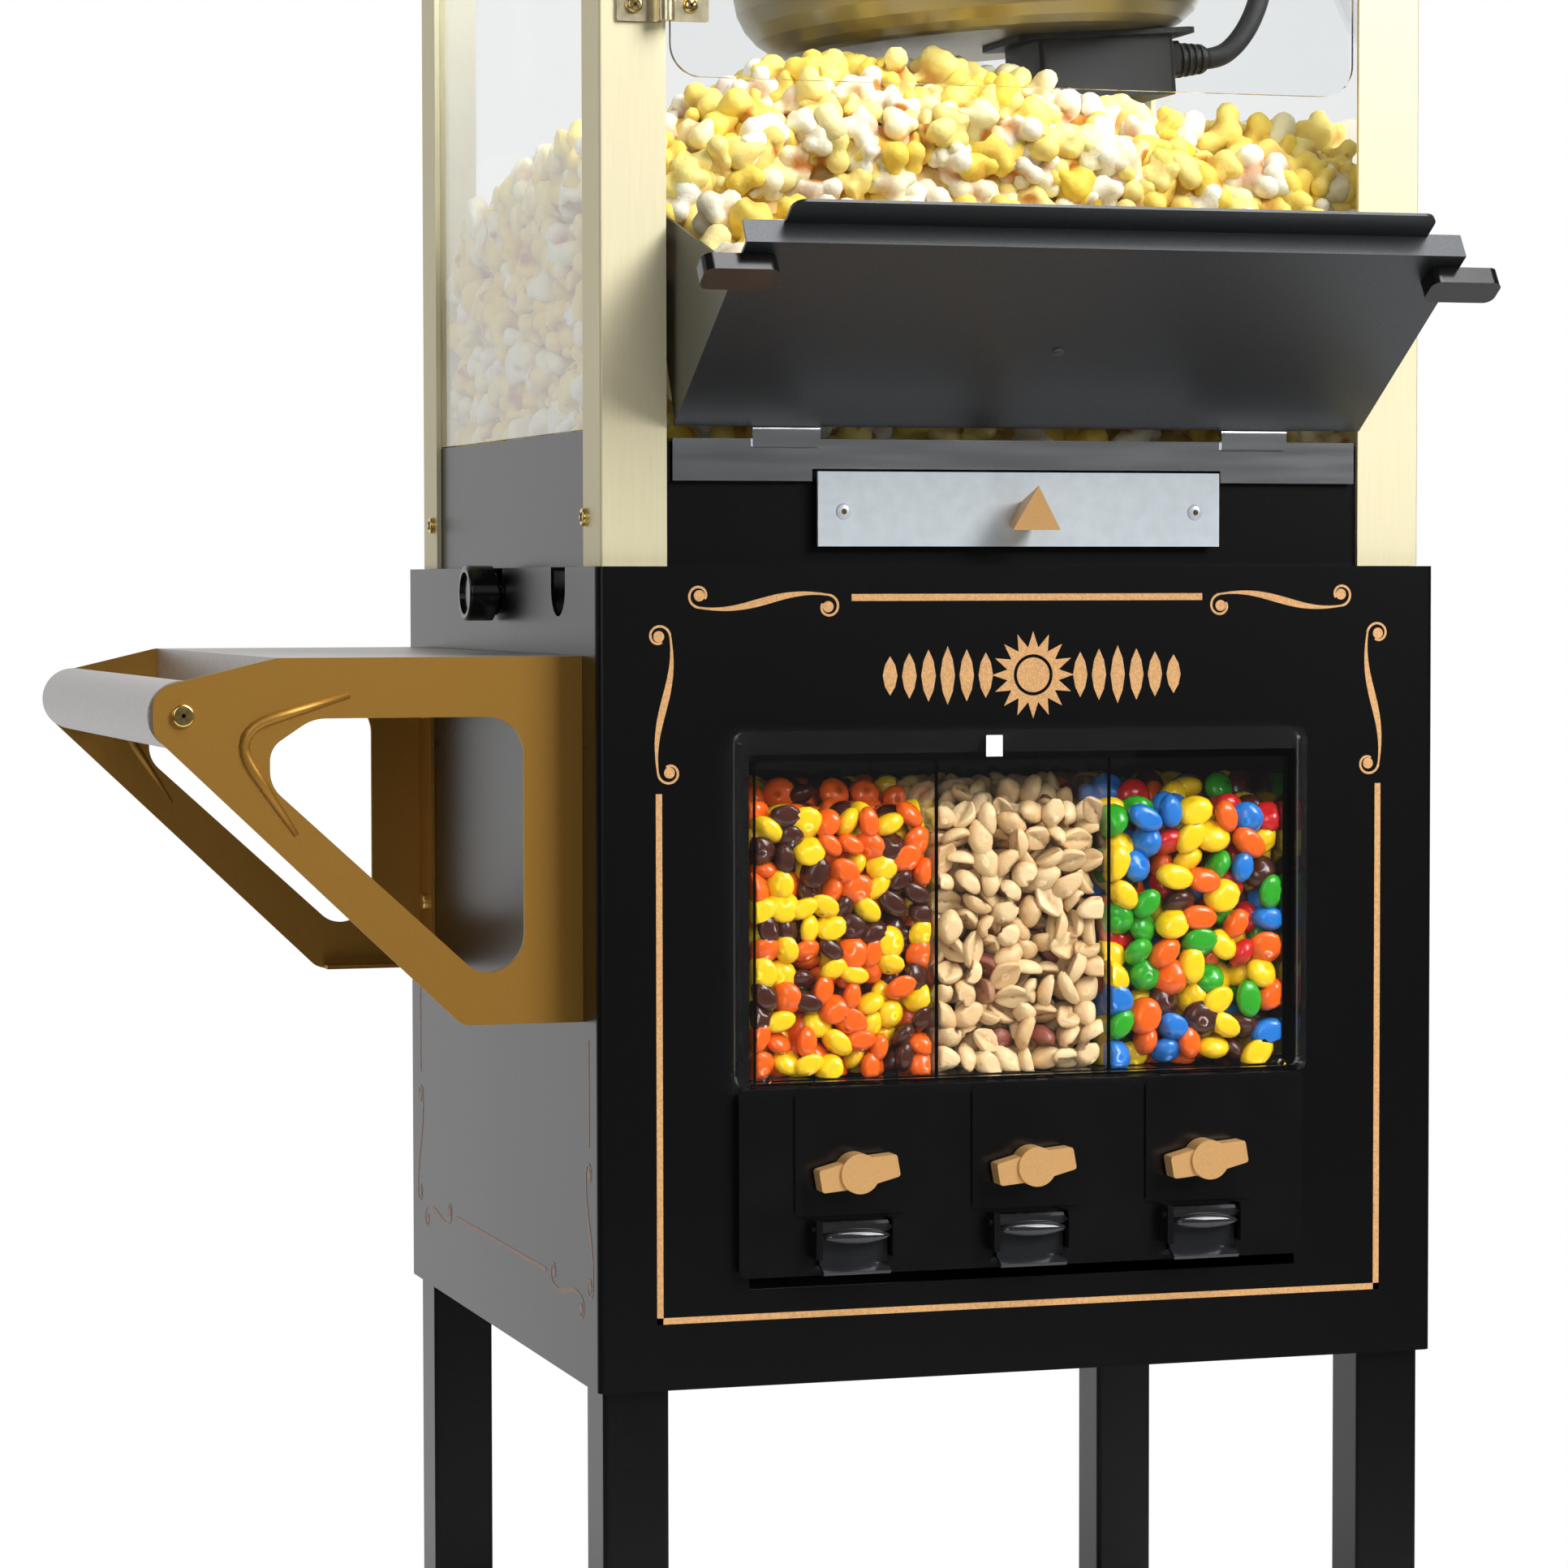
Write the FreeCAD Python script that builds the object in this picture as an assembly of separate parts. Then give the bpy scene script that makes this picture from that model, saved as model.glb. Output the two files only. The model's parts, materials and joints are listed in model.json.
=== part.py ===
import FreeCAD, Part
import math
import os

# Popcorn cart with candy dispenser: cabinet on legs, glazed popcorn machine on top.
# Millimetres. The model is laid out from the cabinet: x right from its left side,
# y back from its front face, z up from its top edge. export() shifts every solid so that
# the origin is the middle of the footprint at floor level.

# ---- driving dimensions ----
CAB_W = 336.0
CAB_D = 316.0
CAB_H = 306.0
SHEET = 1.2
TUBE = 25.4
TUBE_WALL = 1.5
TOTAL_H = 1346.0
ROOF_H = 156.0
CAB_TOP = 730.0
WHEEL_R = 127.0
TYRE_T = 14.0
WHEEL_W = 24.0
AXLE_R = 6.0
HANDLE_X = -149.6
HANDLE_Z = -53.9
HANDLE_R = 12.7
BRACKET_T = 1.6
POST_L = 3.0
POST_R = 331.5
POST_F = 5.4
POST_B = 302.2
POST_W = 25.4
POST_T = 2.0
BASE_H = 51.0
KETTLE_X = 186.0
KETTLE_Y = 122.0
KETTLE_R = 96.0
KETTLE_H = 72.0
KETTLE_TILT = -4.5
KETTLE_FLOOR_Z = 209.0
HATCH_LEN = 115.0
HATCH_OPEN = 57.4
HATCH_Y = 5.0
HATCH_Z = 51.0
KNOB_X = (96.8, 166.9, 237.0)
SIDES = ("left", "centre", "right")

# ---- derived levels ----
FLOOR = -CAB_TOP
TOP = TOTAL_H - CAB_TOP
ROOF_Z = TOP - ROOF_H
LEG_X = (3.1, CAB_W - 3.1 - TUBE)
LEG_Y = (5.5, CAB_D - 2.0 - TUBE)
AXLE_X = LEG_X[1] + TUBE / 2
AXLE_Z = FLOOR + WHEEL_R
WHEEL_GAP = 3.0
X_MIN = HANDLE_X - HANDLE_R
X_MAX = AXLE_X + WHEEL_R
HATCH_LIP_LEN = 12.5
HATCH_FLANGE = 9.7
Y_MAX = LEG_Y[1] + TUBE + WHEEL_GAP + WHEEL_W + 8.0

V = FreeCAD.Vector
EX = V(1, 0, 0)
EY = V(0, 1, 0)
EZ = V(0, 0, 1)


def box(x0, x1, y0, y1, z0, z1):
    return Part.makeBox(x1 - x0, y1 - y0, z1 - z0, V(x0, y0, z0))


def cyl(r, start, end):
    axis = V(*end) - V(*start)
    return Part.makeCylinder(r, axis.Length, V(*start), axis)


def prism(points, vector):
    wire = Part.makePolygon([V(*p) for p in points] + [V(*points[0])])
    return Part.Face(wire).extrude(vector)


def side_prism(points, x0, x1):
    """Extrude a (y, z) outline from x0 to x1."""
    return prism([(x0, y, z) for y, z in points], V(x1 - x0, 0, 0))


def front_prism(points, y0, y1):
    """Extrude an (x, z) outline from y0 to y1."""
    return prism([(x, y0, z) for x, z in points], V(0, y1 - y0, 0))


def round_edges(shape, radius, test):
    edges = [e for e in shape.Edges if test(e)]
    return shape.makeFillet(radius, edges) if edges else shape


def along(edge, axis):
    if not isinstance(edge.Curve, Part.Line):
        return False
    return abs(abs(edge.Curve.Direction.dot(axis)) - 1) < 1e-6


def rounded_box(x0, x1, y0, y1, z0, z1, axis, r):
    return round_edges(box(x0, x1, y0, y1, z0, z1), r, lambda e: along(e, axis))


def fuse(shapes):
    whole = shapes[0].multiFuse(shapes[1:]) if len(shapes) > 1 else shapes[0]
    return whole.removeSplitter()


def turned(shape, centre, axis, degrees):
    copy = shape.copy()
    copy.rotate(V(*centre), axis, degrees)
    return copy


def revolve(points, centre_x, centre_y):
    """Turn an (r, z) outline about a vertical line."""
    wire = Part.makePolygon([V(centre_x + r, centre_y, z) for r, z in points + points[:1]])
    return Part.Face(wire).revolve(V(centre_x, centre_y, 0), EZ, 360)


parts = {}


def keep(name, shape):
    solids = shape.Solids
    parts[name] = solids[0] if len(solids) == 1 else Part.makeCompound(solids)


# ---- legs, wheels and lower shelf ----
def square_tube(x, y, z0, z1):
    outer = rounded_box(x, x + TUBE, y, y + TUBE, z0, z1, EZ, 2.0)
    w = TUBE_WALL
    return outer.cut(box(x + w, x + TUBE - w, y + w, y + TUBE - w, z0 - 1, z1 + 1))


FOOT_H = 22.0
LEG_TOP = -CAB_H
AXLE_END_Z = AXLE_Z - 22.0
left_legs = [square_tube(LEG_X[0], y, FLOOR + 6.0, LEG_TOP) for y in LEG_Y]
right_legs = [square_tube(LEG_X[1], y, AXLE_END_Z, LEG_TOP) for y in LEG_Y]
axle_hole = cyl(AXLE_R + 0.2, (AXLE_X, LEG_Y[0] - 5, AXLE_Z), (AXLE_X, LEG_Y[1] + TUBE + 5, AXLE_Z))
keep("legs_left", Part.makeCompound(left_legs))
keep("legs_right", Part.makeCompound([leg.cut(axle_hole) for leg in right_legs]))


def foot_cap(x, y):
    lo = TUBE_WALL + 0.1
    pad = rounded_box(x - 1, x + TUBE + 1, y - 1, y + TUBE + 1, FLOOR, FLOOR + 6.0, EZ, 3.0)
    plug = box(x + lo, x + TUBE - lo, y + lo, y + TUBE - lo, FLOOR + 6.0, FLOOR + FOOT_H)
    return pad.fuse(plug)


keep("foot_caps", Part.makeCompound([foot_cap(LEG_X[0], y) for y in LEG_Y]))

SHELF_Z = FLOOR + 215.0
SHELF_LIP = 18.0
shelf_x = (LEG_X[0] + 0.1, LEG_X[1] + TUBE - 0.1)
shelf_y = (LEG_Y[0] + 0.1, LEG_Y[1] + TUBE - 0.1)
shelf = box(*shelf_x, *shelf_y, SHELF_Z - SHELF_LIP, SHELF_Z)
shelf = shelf.cut(box(shelf_x[0] + SHEET, shelf_x[1] - SHEET, shelf_y[0] + SHEET, shelf_y[1] - SHEET,
                      SHELF_Z - SHELF_LIP - 1, SHELF_Z - SHEET))
for x in LEG_X:
    for y in LEG_Y:
        shelf = shelf.cut(box(x - 1, x + TUBE + 0.2, y - 1, y + TUBE + 0.2, SHELF_Z - 30, SHELF_Z + 1)
                          if x == LEG_X[0] else
                          box(x - 0.2, x + TUBE + 1, y - 1, y + TUBE + 1, SHELF_Z - 30, SHELF_Z + 1))
keep("lower_shelf", shelf.Solids[0])

WHEEL_Y = (LEG_Y[0] - WHEEL_GAP - WHEEL_W, LEG_Y[1] + TUBE + WHEEL_GAP)
AXLE_OUT = 4.0
CAP_R = 12.0
axle_y = (WHEEL_Y[0] - AXLE_OUT, WHEEL_Y[1] + WHEEL_W + AXLE_OUT)
keep("axle", cyl(AXLE_R, (AXLE_X, axle_y[0], AXLE_Z), (AXLE_X, axle_y[1], AXLE_Z)))


def axle_cap(y_in, y_out):
    step = 1.0 if y_out > y_in else -1.0
    cap = cyl(CAP_R, (AXLE_X, y_in, AXLE_Z), (AXLE_X, y_in + step * 5, AXLE_Z))
    dome = cyl(CAP_R - 3, (AXLE_X, y_in + step * 5, AXLE_Z), (AXLE_X, y_out, AXLE_Z))
    bore = cyl(AXLE_R, (AXLE_X, y_in - step, AXLE_Z), (AXLE_X, y_in + step * 3.0, AXLE_Z))
    return cap.fuse(dome).cut(bore)


wheels_end = WHEEL_Y[1] + WHEEL_W
caps = [axle_cap(WHEEL_Y[0] - 1.0, WHEEL_Y[0] - 8.0), axle_cap(wheels_end + 1.0, wheels_end + 8.0)]
keep("axle_caps", Part.makeCompound(caps))


def wheel(y):
    mid = y + WHEEL_W / 2
    half = WHEEL_W / 2
    rim_r = WHEEL_R - TYRE_T
    rim = cyl(rim_r, (AXLE_X, mid - 9, AXLE_Z), (AXLE_X, mid + 9, AXLE_Z))
    rim = rim.cut(cyl(rim_r - 9, (AXLE_X, y - 1, AXLE_Z), (AXLE_X, y + WHEEL_W + 1, AXLE_Z)))
    hub = cyl(19.0, (AXLE_X, mid - half, AXLE_Z), (AXLE_X, mid + half, AXLE_Z))
    spoke = cyl(4.5, (AXLE_X, mid, AXLE_Z + 15), (AXLE_X, mid, AXLE_Z + rim_r - 5))
    count = 12
    spokes = [turned(spoke, (AXLE_X, mid, AXLE_Z), EY, 360.0 * i / count) for i in range(count)]
    whole = fuse([rim, hub] + spokes)
    return whole.cut(cyl(AXLE_R + 0.1, (AXLE_X, y - 1, AXLE_Z), (AXLE_X, y + WHEEL_W + 1, AXLE_Z)))


def tyre(y):
    mid = y + WHEEL_W / 2
    body = cyl(WHEEL_R, (AXLE_X, mid - 10, AXLE_Z), (AXLE_X, mid + 10, AXLE_Z))
    body = round_edges(body, 7.0, lambda e: isinstance(e.Curve, Part.Circle))
    return body.cut(cyl(WHEEL_R - TYRE_T + 0.05, (AXLE_X, y - 1, AXLE_Z), (AXLE_X, y + WHEEL_W + 1, AXLE_Z)))


for place, y in zip(("front", "rear"), WHEEL_Y):
    keep("wheel_" + place, wheel(y))
    keep("tyre_" + place, tyre(y))


# ---- push handle and side shelf ----
BRACKET_FRONT = 21.0
BRACKET_REAR = 294.0
SHELF_TOP = -33.2
PLATE_BOTTOM = -169.6


def rounded_outline(points, radii, y0, y1):
    """Extrude an (x, z) outline with its corners rounded one by one."""
    shape = front_prism(points, y0, y1)
    for (x, z), r in zip(points, radii):
        if r:
            shape = round_edges(shape, r, lambda e: along(e, EY) and abs(e.Vertexes[0].X - x) < 0.01
                                and abs(e.Vertexes[0].Z - z) < 0.01)
    return shape


PLATE = [(-1.2, SHELF_TOP), (-114.8, SHELF_TOP), (-160.5, -44.0), (-160.5, -60.8), (-46.2, PLATE_BOTTOM),
         (-1.2, PLATE_BOTTOM)]
PLATE_R = [0, 10.0, 9.0, 9.0, 8.0, 0]
WINDOW = [(-101.8, -55.4), (-22.5, -55.4), (-22.5, -150.5), (-40.5, -150.5), (-117.7, -80.0), (-117.7, -66.0)]
WINDOW_R = [16.0, 14.0, 15.0, 12.0, 12.0, 9.0]


def bracket(y_out, step):
    """One sheet bracket: window plate plus a flange against the cabinet side."""
    y_in = y_out + step * BRACKET_T
    lo, hi = min(y_out, y_in), max(y_out, y_in)
    plate = rounded_outline(PLATE, PLATE_R, lo, hi)
    plate = plate.cut(rounded_outline(WINDOW, WINDOW_R, lo - 1, hi + 1))
    plate = plate.cut(cyl(3.2, (HANDLE_X, lo - 1, HANDLE_Z), (HANDLE_X, hi + 1, HANDLE_Z)))
    f0, f1 = sorted((y_out, y_out + step * 24.0))
    flange = box(-BRACKET_T - 0.1, -0.1, f0, f1, PLATE_BOTTOM, SHELF_TOP)
    b0, b1 = sorted((y_out, y_out + step * 11.0))
    hem = box(-44.0, -BRACKET_T - 0.1, b0, b1, PLATE_BOTTOM, PLATE_BOTTOM + BRACKET_T)
    for z in (-60.0, -141.6):
        flange = flange.cut(cyl(2.6, (-4, y_out + step * 13, z), (1, y_out + step * 13, z)))
    return fuse([plate, flange, hem])


keep("handle_bracket_front", bracket(BRACKET_FRONT, 1.0))
keep("handle_bracket_rear", bracket(BRACKET_REAR, -1.0))
tube_y = (BRACKET_FRONT + BRACKET_T + 0.1, BRACKET_REAR - BRACKET_T - 0.1)
grip = cyl(HANDLE_R, (HANDLE_X, tube_y[0], HANDLE_Z), (HANDLE_X, tube_y[1], HANDLE_Z))
bolt_hole = cyl(3.2, (HANDLE_X, tube_y[0] - 1, HANDLE_Z), (HANDLE_X, tube_y[1] + 1, HANDLE_Z))
keep("handle_tube", grip.cut(bolt_hole))

SHELF_X = -114.0
shelf_in = (tube_y[0] + 0.2, tube_y[1] - 0.2)
top = box(SHELF_X, -2.0, *shelf_in, SHELF_TOP - SHEET, SHELF_TOP)
lip = box(SHELF_X, SHELF_X + SHEET, *shelf_in, SHELF_TOP - 14.0, SHELF_TOP)
turn_down = [box(SHELF_X, -26.0, a, b, SHELF_TOP - 12.0, SHELF_TOP)
             for a, b in ((shelf_in[0], shelf_in[0] + SHEET), (shelf_in[1] - SHEET, shelf_in[1]))]
keep("side_shelf", fuse([top, lip] + turn_down))


# ---- cabinet ----
CUT_X = (58.0, 278.0)
CUT_Z = (-269.7, -70.0)
FLANGE = 14.0
NOTCH_W = 21.6
NOTCH_D = 18.7
NOTCH_Y = (57.5, 158.0)
outer = round_edges(box(0, CAB_W, 0, CAB_D, -CAB_H, 0), 3.0,
                    lambda e: along(e, EZ) and e.Vertexes[0].Y < 1)
inner = box(SHEET, CAB_W - SHEET, SHEET, CAB_D + 1, -CAB_H - 1, 1)
ledge = box(SHEET, CAB_W - SHEET, SHEET, CAB_D, -SHEET, 0)
ledge = ledge.cut(box(FLANGE, CAB_W - FLANGE, FLANGE, CAB_D - FLANGE, -5, 5))
returns = [box(a, b, CAB_D - SHEET, CAB_D, -CAB_H, 0)
           for a, b in ((SHEET, FLANGE), (CAB_W - FLANGE, CAB_W - SHEET))]
shell = fuse([outer.cut(inner), ledge] + returns)
shell = shell.cut(box(*CUT_X, -1, SHEET + 1, *CUT_Z))


def notch(y):
    w = NOTCH_W / 2
    slot = box(-1, FLANGE + 1, y - w, y + w, -NOTCH_D + w, 1)
    return slot.fuse(cyl(w, (-1, y, -NOTCH_D + w), (SHEET + 0.5, y, -NOTCH_D + w)))


for y in NOTCH_Y:
    shell = shell.cut(notch(y))
keep("cabinet_shell", shell)

back_x = (FLANGE - 8.0, CAB_W - FLANGE + 8.0)
back = box(*back_x, CAB_D - SHEET - 1.3, CAB_D - SHEET - 0.1, -CAB_H + 2, -SHEET - 0.3)
louvres = [rounded_box(110, 226, CAB_D - 4, CAB_D, z, z + 5, EY, 2.0) for z in (-200, -216, -232, -248)]
keep("cabinet_back", back.cut(Part.makeCompound(louvres)))

FLOOR_SKIRT = 12.0
pan = box(SHEET + 0.2, CAB_W - SHEET - 0.2, SHEET + 2.2, CAB_D - SHEET - 1.6, -CAB_H, -CAB_H + FLOOR_SKIRT)
hollow = box(2 * SHEET + 0.2, CAB_W - 2 * SHEET - 0.2, 2 * SHEET + 2.2, CAB_D - 2 * SHEET - 1.6,
             -CAB_H + SHEET, -CAB_H + 40)
keep("cabinet_floor", pan.cut(hollow))

CLAMP_Y = NOTCH_Y[1]
CLAMP_Z = -10.0
SKIRT_X = FLANGE + 2.0
head = cyl(11.0, (-13.0, CLAMP_Y, CLAMP_Z), (-2.0, CLAMP_Y, CLAMP_Z))
head = round_edges(head, 1.2, lambda e: isinstance(e.Curve, Part.Circle) and e.Vertexes[0].X < -12)
head = head.cut(cyl(8.4, (-14, CLAMP_Y, CLAMP_Z), (-11.6, CLAMP_Y, CLAMP_Z)))
collar = cyl(8.0, (-2.0, CLAMP_Y, CLAMP_Z), (-0.3, CLAMP_Y, CLAMP_Z))
stud = cyl(3.0, (-2.0, CLAMP_Y, CLAMP_Z), (SKIRT_X + 8, CLAMP_Y, CLAMP_Z))
keep("clamp_knob", fuse([head, collar, stud]))


# ---- candy dispenser ----
BIN_X = (60.0, 275.0)
BIN_WALL = 1.4
BIN_DIVIDERS = (132.5, 202.0)
BIN_TOP = -73.0
BIN_BACK = 84.0
CHASSIS_X = (53.0, 280.0)
CHASSIS_Z = (-265.0, -194.5)
ROTOR_R = 20.5
ROTOR_Z = -226.0
ROTOR_Y = (4.0, 31.0)
THROAT_Y = (4.0, 31.0)
CHUTE_W = 13.5
THROAT_W = 14.0

bin_side = [(1.6, BIN_TOP), (BIN_BACK, BIN_TOP), (BIN_BACK, -150.0), (36.0, -193.6), (1.6, -193.6)]
room_side = [(1.6 + BIN_WALL, BIN_TOP + 1), (BIN_BACK - BIN_WALL, BIN_TOP + 1), (BIN_BACK - BIN_WALL, -151.0),
             (35.5, -192.0), (1.6 + BIN_WALL, -192.0)]
bins = side_prism(bin_side, *BIN_X)
edges_x = [BIN_X[0] + BIN_WALL / 2] + list(BIN_DIVIDERS) + [BIN_X[1] - BIN_WALL / 2]
for a, b in zip(edges_x[:-1], edges_x[1:]):
    bins = bins.cut(side_prism(room_side, a + BIN_WALL / 2, b - BIN_WALL / 2))
for x in KNOB_X:
    bins = bins.cut(box(x - THROAT_W, x + THROAT_W, *THROAT_Y, -200, -190))
keep("candy_bins", bins)

plate = rounded_box(*CHASSIS_X, -4.0, -0.4, *CHASSIS_Z, EY, 3.0)
body = box(BIN_X[0], BIN_X[1], -0.4, 38.0, -264.0, -194.5)
bosses = [rounded_box(x - 22.4, x + 22.4, -5.0, -4.0, -242.5, -196.0, EY, 2.0) for x in KNOB_X]
EAR_Y = (-12.0, -4.0)
ears = []
for x in KNOB_X:
    ears += [box(x + s * 15.0 - 1.2, x + s * 15.0 + 1.2, *EAR_Y, -258.0, -243.5) for s in (-1, 1)]
housing = fuse([plate, body] + bosses + ears)
chute_side = [(-6.0, -262.0), (-6.0, -245.5), (2.0, -243.0), (33.0, -226.0), (33.0, -246.0)]
PIN_Y = -8.0
PIN_Z = -247.0
for x in KNOB_X:
    housing = housing.cut(cyl(ROTOR_R + 1.5, (x, 2.5, ROTOR_Z), (x, 33.0, ROTOR_Z)))
    housing = housing.cut(box(x - THROAT_W, x + THROAT_W, *THROAT_Y, ROTOR_Z, -190))
    housing = housing.cut(side_prism(chute_side, x - CHUTE_W, x + CHUTE_W))
    housing = housing.cut(cyl(3.3, (x, -6, ROTOR_Z), (x, 3, ROTOR_Z)))
    housing = housing.cut(cyl(1.6, (x - 17, PIN_Y, PIN_Z), (x + 17, PIN_Y, PIN_Z)))
keep("dispenser_housing", housing)


def wing_knob(x):
    disc = cyl(7.5, (x, -15.5, ROTOR_Z), (x, -6.0, ROTOR_Z))
    half_wing = [(-15.5, -4.2), (-6.0, -5.0), (6.0, -5.0), (15.5, -4.2)]
    wing = [(x + a, ROTOR_Z + b) for a, b in half_wing + [(-a, -b) for a, b in half_wing]]
    bar = round_edges(front_prism(wing, -14.5, -7.0), 1.2, lambda e: along(e, EY))
    shaft = cyl(3.0, (x, -6.5, ROTOR_Z), (x, 28.0, ROTOR_Z))
    return turned(fuse([disc, bar, shaft]), (x, 0, ROTOR_Z), EY, -10.0)


def portion_wheel(x):
    hub = cyl(6.0, (x, ROTOR_Y[0], ROTOR_Z), (x, ROTOR_Y[1], ROTOR_Z))
    vane = box(x - 0.9, x + 0.9, *ROTOR_Y, ROTOR_Z + 5, ROTOR_Z + ROTOR_R)
    vanes = [turned(vane, (x, 0, ROTOR_Z), EY, 60.0 * i) for i in range(6)]
    return fuse([hub] + vanes).cut(cyl(3.05, (x, 0, ROTOR_Z), (x, 28.05, ROTOR_Z)))


def chute_flap(x):
    w = 13.2
    side = [(-7.2, -244.6), (-5.2, -246.0), (-5.2, -261.5), (-11.0, -264.2), (-11.8, -263.0), (-6.8, -260.4),
            (-6.8, -249.0), (-9.2, -248.4), (-9.4, -245.6)]
    leaf = side_prism(side, x - w, x + w)
    pin = cyl(1.2, (x - 16.6, PIN_Y, PIN_Z), (x + 16.6, PIN_Y, PIN_Z))
    return fuse([leaf, pin])


for side, x in zip(SIDES, KNOB_X):
    keep("dispense_knob_" + side, wing_knob(x))
    keep("portion_wheel_" + side, portion_wheel(x))
    keep("chute_flap_" + side, chute_flap(x))

COVER_X = (52.0, 280.0)
COVER_Z = (-194.0, -61.5)
COVER_T = 1.8
cover = rounded_box(*COVER_X, -6.5, -0.4, *COVER_Z, EY, 4.0)
cover = cover.cut(rounded_box(COVER_X[0] + COVER_T, COVER_X[1] - COVER_T, -6.5 + COVER_T, 1,
                              COVER_Z[0] + COVER_T, COVER_Z[1] - COVER_T, EY, 3.0))
rib = box(COVER_X[0] + COVER_T, COVER_X[1] - COVER_T, -6.5 + COVER_T, -3.4, -76.0, -74.6)
pins = [cyl(1.3, (x, -4.8, -191.0), (x, -2.0, -191.0)) for x in (64.0, 271.0)]
keep("window_cover", fuse([cover, rib] + pins))


# ---- popcorn machine base, crumb drawer and posts ----
BASE_X = (POST_L + POST_T + 0.2, POST_R - POST_T - 0.2)
BASE_Y = (POST_F + POST_T + 0.2, POST_B - POST_T - 0.2)
DRAWER_X = (86.0, 247.0)
DRAWER_Z = (7.5, 35.4)
DRAWER_BACK = 215.0
SLOT_X = (DRAWER_X[0] + 4.0, DRAWER_X[1] - 4.0)
SLOT_Z = (9.0, 33.5)
FRONT_H = 46.5
SKIRT_DROP = 26.0
walls = box(*BASE_X, *BASE_Y, 0, BASE_H)
walls = walls.cut(box(BASE_X[0] + SHEET, BASE_X[1] - SHEET, BASE_Y[0] + SHEET, BASE_Y[1] - SHEET,
                      SHEET, BASE_H + 1))
walls = walls.cut(box(BASE_X[0] + 20, BASE_X[1] - 20, BASE_Y[0] - 1, BASE_Y[0] + 2, FRONT_H, BASE_H + 1))
walls = walls.cut(box(*SLOT_X, BASE_Y[0] - 1, BASE_Y[0] + 2, *SLOT_Z))
skirt = box(SKIRT_X, CAB_W - SKIRT_X, SKIRT_X, CAB_D - SKIRT_X, -SKIRT_DROP, SHEET)
skirt = skirt.cut(box(SKIRT_X + SHEET, CAB_W - SKIRT_X - SHEET, SKIRT_X + SHEET, CAB_D - SKIRT_X - SHEET,
                      -SKIRT_DROP - 1, 0))
skirt = skirt.common(box(SKIRT_X - 1, CAB_W, 0, BASE_Y[1] - 1, -50, SHEET))
base = fuse([walls, skirt]).cut(cyl(3.2, (0, CLAMP_Y, CLAMP_Z), (SKIRT_X + 5, CLAMP_Y, CLAMP_Z)))
keep("machine_base", base)

BAND_X = (30.5, 304.0)
band = box(*BAND_X, 4.6, 5.6, 31.8, 47.5)
band = band.cut(box(DRAWER_X[0] - 1.5, DRAWER_X[1] + 1.5, 4, 6, 31, DRAWER_Z[1] + 1.0))
band_back = box(BAND_X[0], BAND_X[1], 5.6, BASE_Y[0] + 8, 46.6, 47.5)
keep("front_band", fuse([band, band_back]))

tray = box(SLOT_X[0] + 1, SLOT_X[1] - 1, 3.4, DRAWER_BACK, SLOT_Z[0] + 1, SLOT_Z[1] - 4)
tray = tray.cut(box(SLOT_X[0] + 1 + SHEET, SLOT_X[1] - 1 - SHEET, 3.4 + SHEET, DRAWER_BACK - SHEET,
                    SLOT_Z[0] + 1 + SHEET, 50))
face = box(*DRAWER_X, 2.2, 3.4, *DRAWER_Z)
keep("crumb_drawer", fuse([tray, face]))

KNOB_Z = 13.5
KNOB_FACE = -15.0
half = 9.5
knob_front = Part.makePolygon([V(166.5 - half, KNOB_FACE, KNOB_Z), V(166.5 + half, KNOB_FACE, KNOB_Z),
                               V(166.5, KNOB_FACE - 2, KNOB_Z + 16.5), V(166.5 - half, KNOB_FACE, KNOB_Z)])
knob_back = Part.makePolygon([V(166.5 - 5, 2.1, KNOB_Z + 2), V(166.5 + 5, 2.1, KNOB_Z + 2),
                              V(166.5, 2.1, KNOB_Z + 11), V(166.5 - 5, 2.1, KNOB_Z + 2)])
keep("drawer_knob", Part.makeLoft([knob_front, knob_back], True, True))

deck = box(BASE_X[0] + SHEET + 0.3, BASE_X[1] - SHEET - 0.3, BASE_Y[0] + SHEET + 7, BASE_Y[1] - SHEET - 0.3,
           42.0, 43.2)
HOLE_STEP = 17.0
holes = []
for i in range(9):
    for j in range(8):
        hx = 100 + i * HOLE_STEP
        hy = 60 + j * HOLE_STEP
        holes.append(cyl(4.0, (hx, hy, 40), (hx, hy, 45)))
keep("sift_deck", deck.cut(Part.makeCompound(holes)))


def post(x, y, sx, sy):
    """Angle post with its corner at (x, y) and its legs running along sx and sy."""
    def leg(ax, ay):
        x0, x1 = sorted((x, x + sx * ax))
        y0, y1 = sorted((y, y + sy * ay))
        return box(x0, x1, y0, y1, 0.1, ROOF_Z)
    angle = fuse([leg(POST_W, POST_T), leg(POST_T, POST_W)])
    return round_edges(angle, 1.0, lambda e: along(e, EZ) and abs(e.Vertexes[0].X - x) < 0.01
                       and abs(e.Vertexes[0].Y - y) < 0.01)


keep("front_posts", Part.makeCompound([post(POST_L, POST_F, 1, 1), post(POST_R, POST_F, -1, 1)]))
keep("rear_posts", Part.makeCompound([post(POST_L, POST_B, 1, -1), post(POST_R, POST_B, -1, -1)]))


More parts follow.
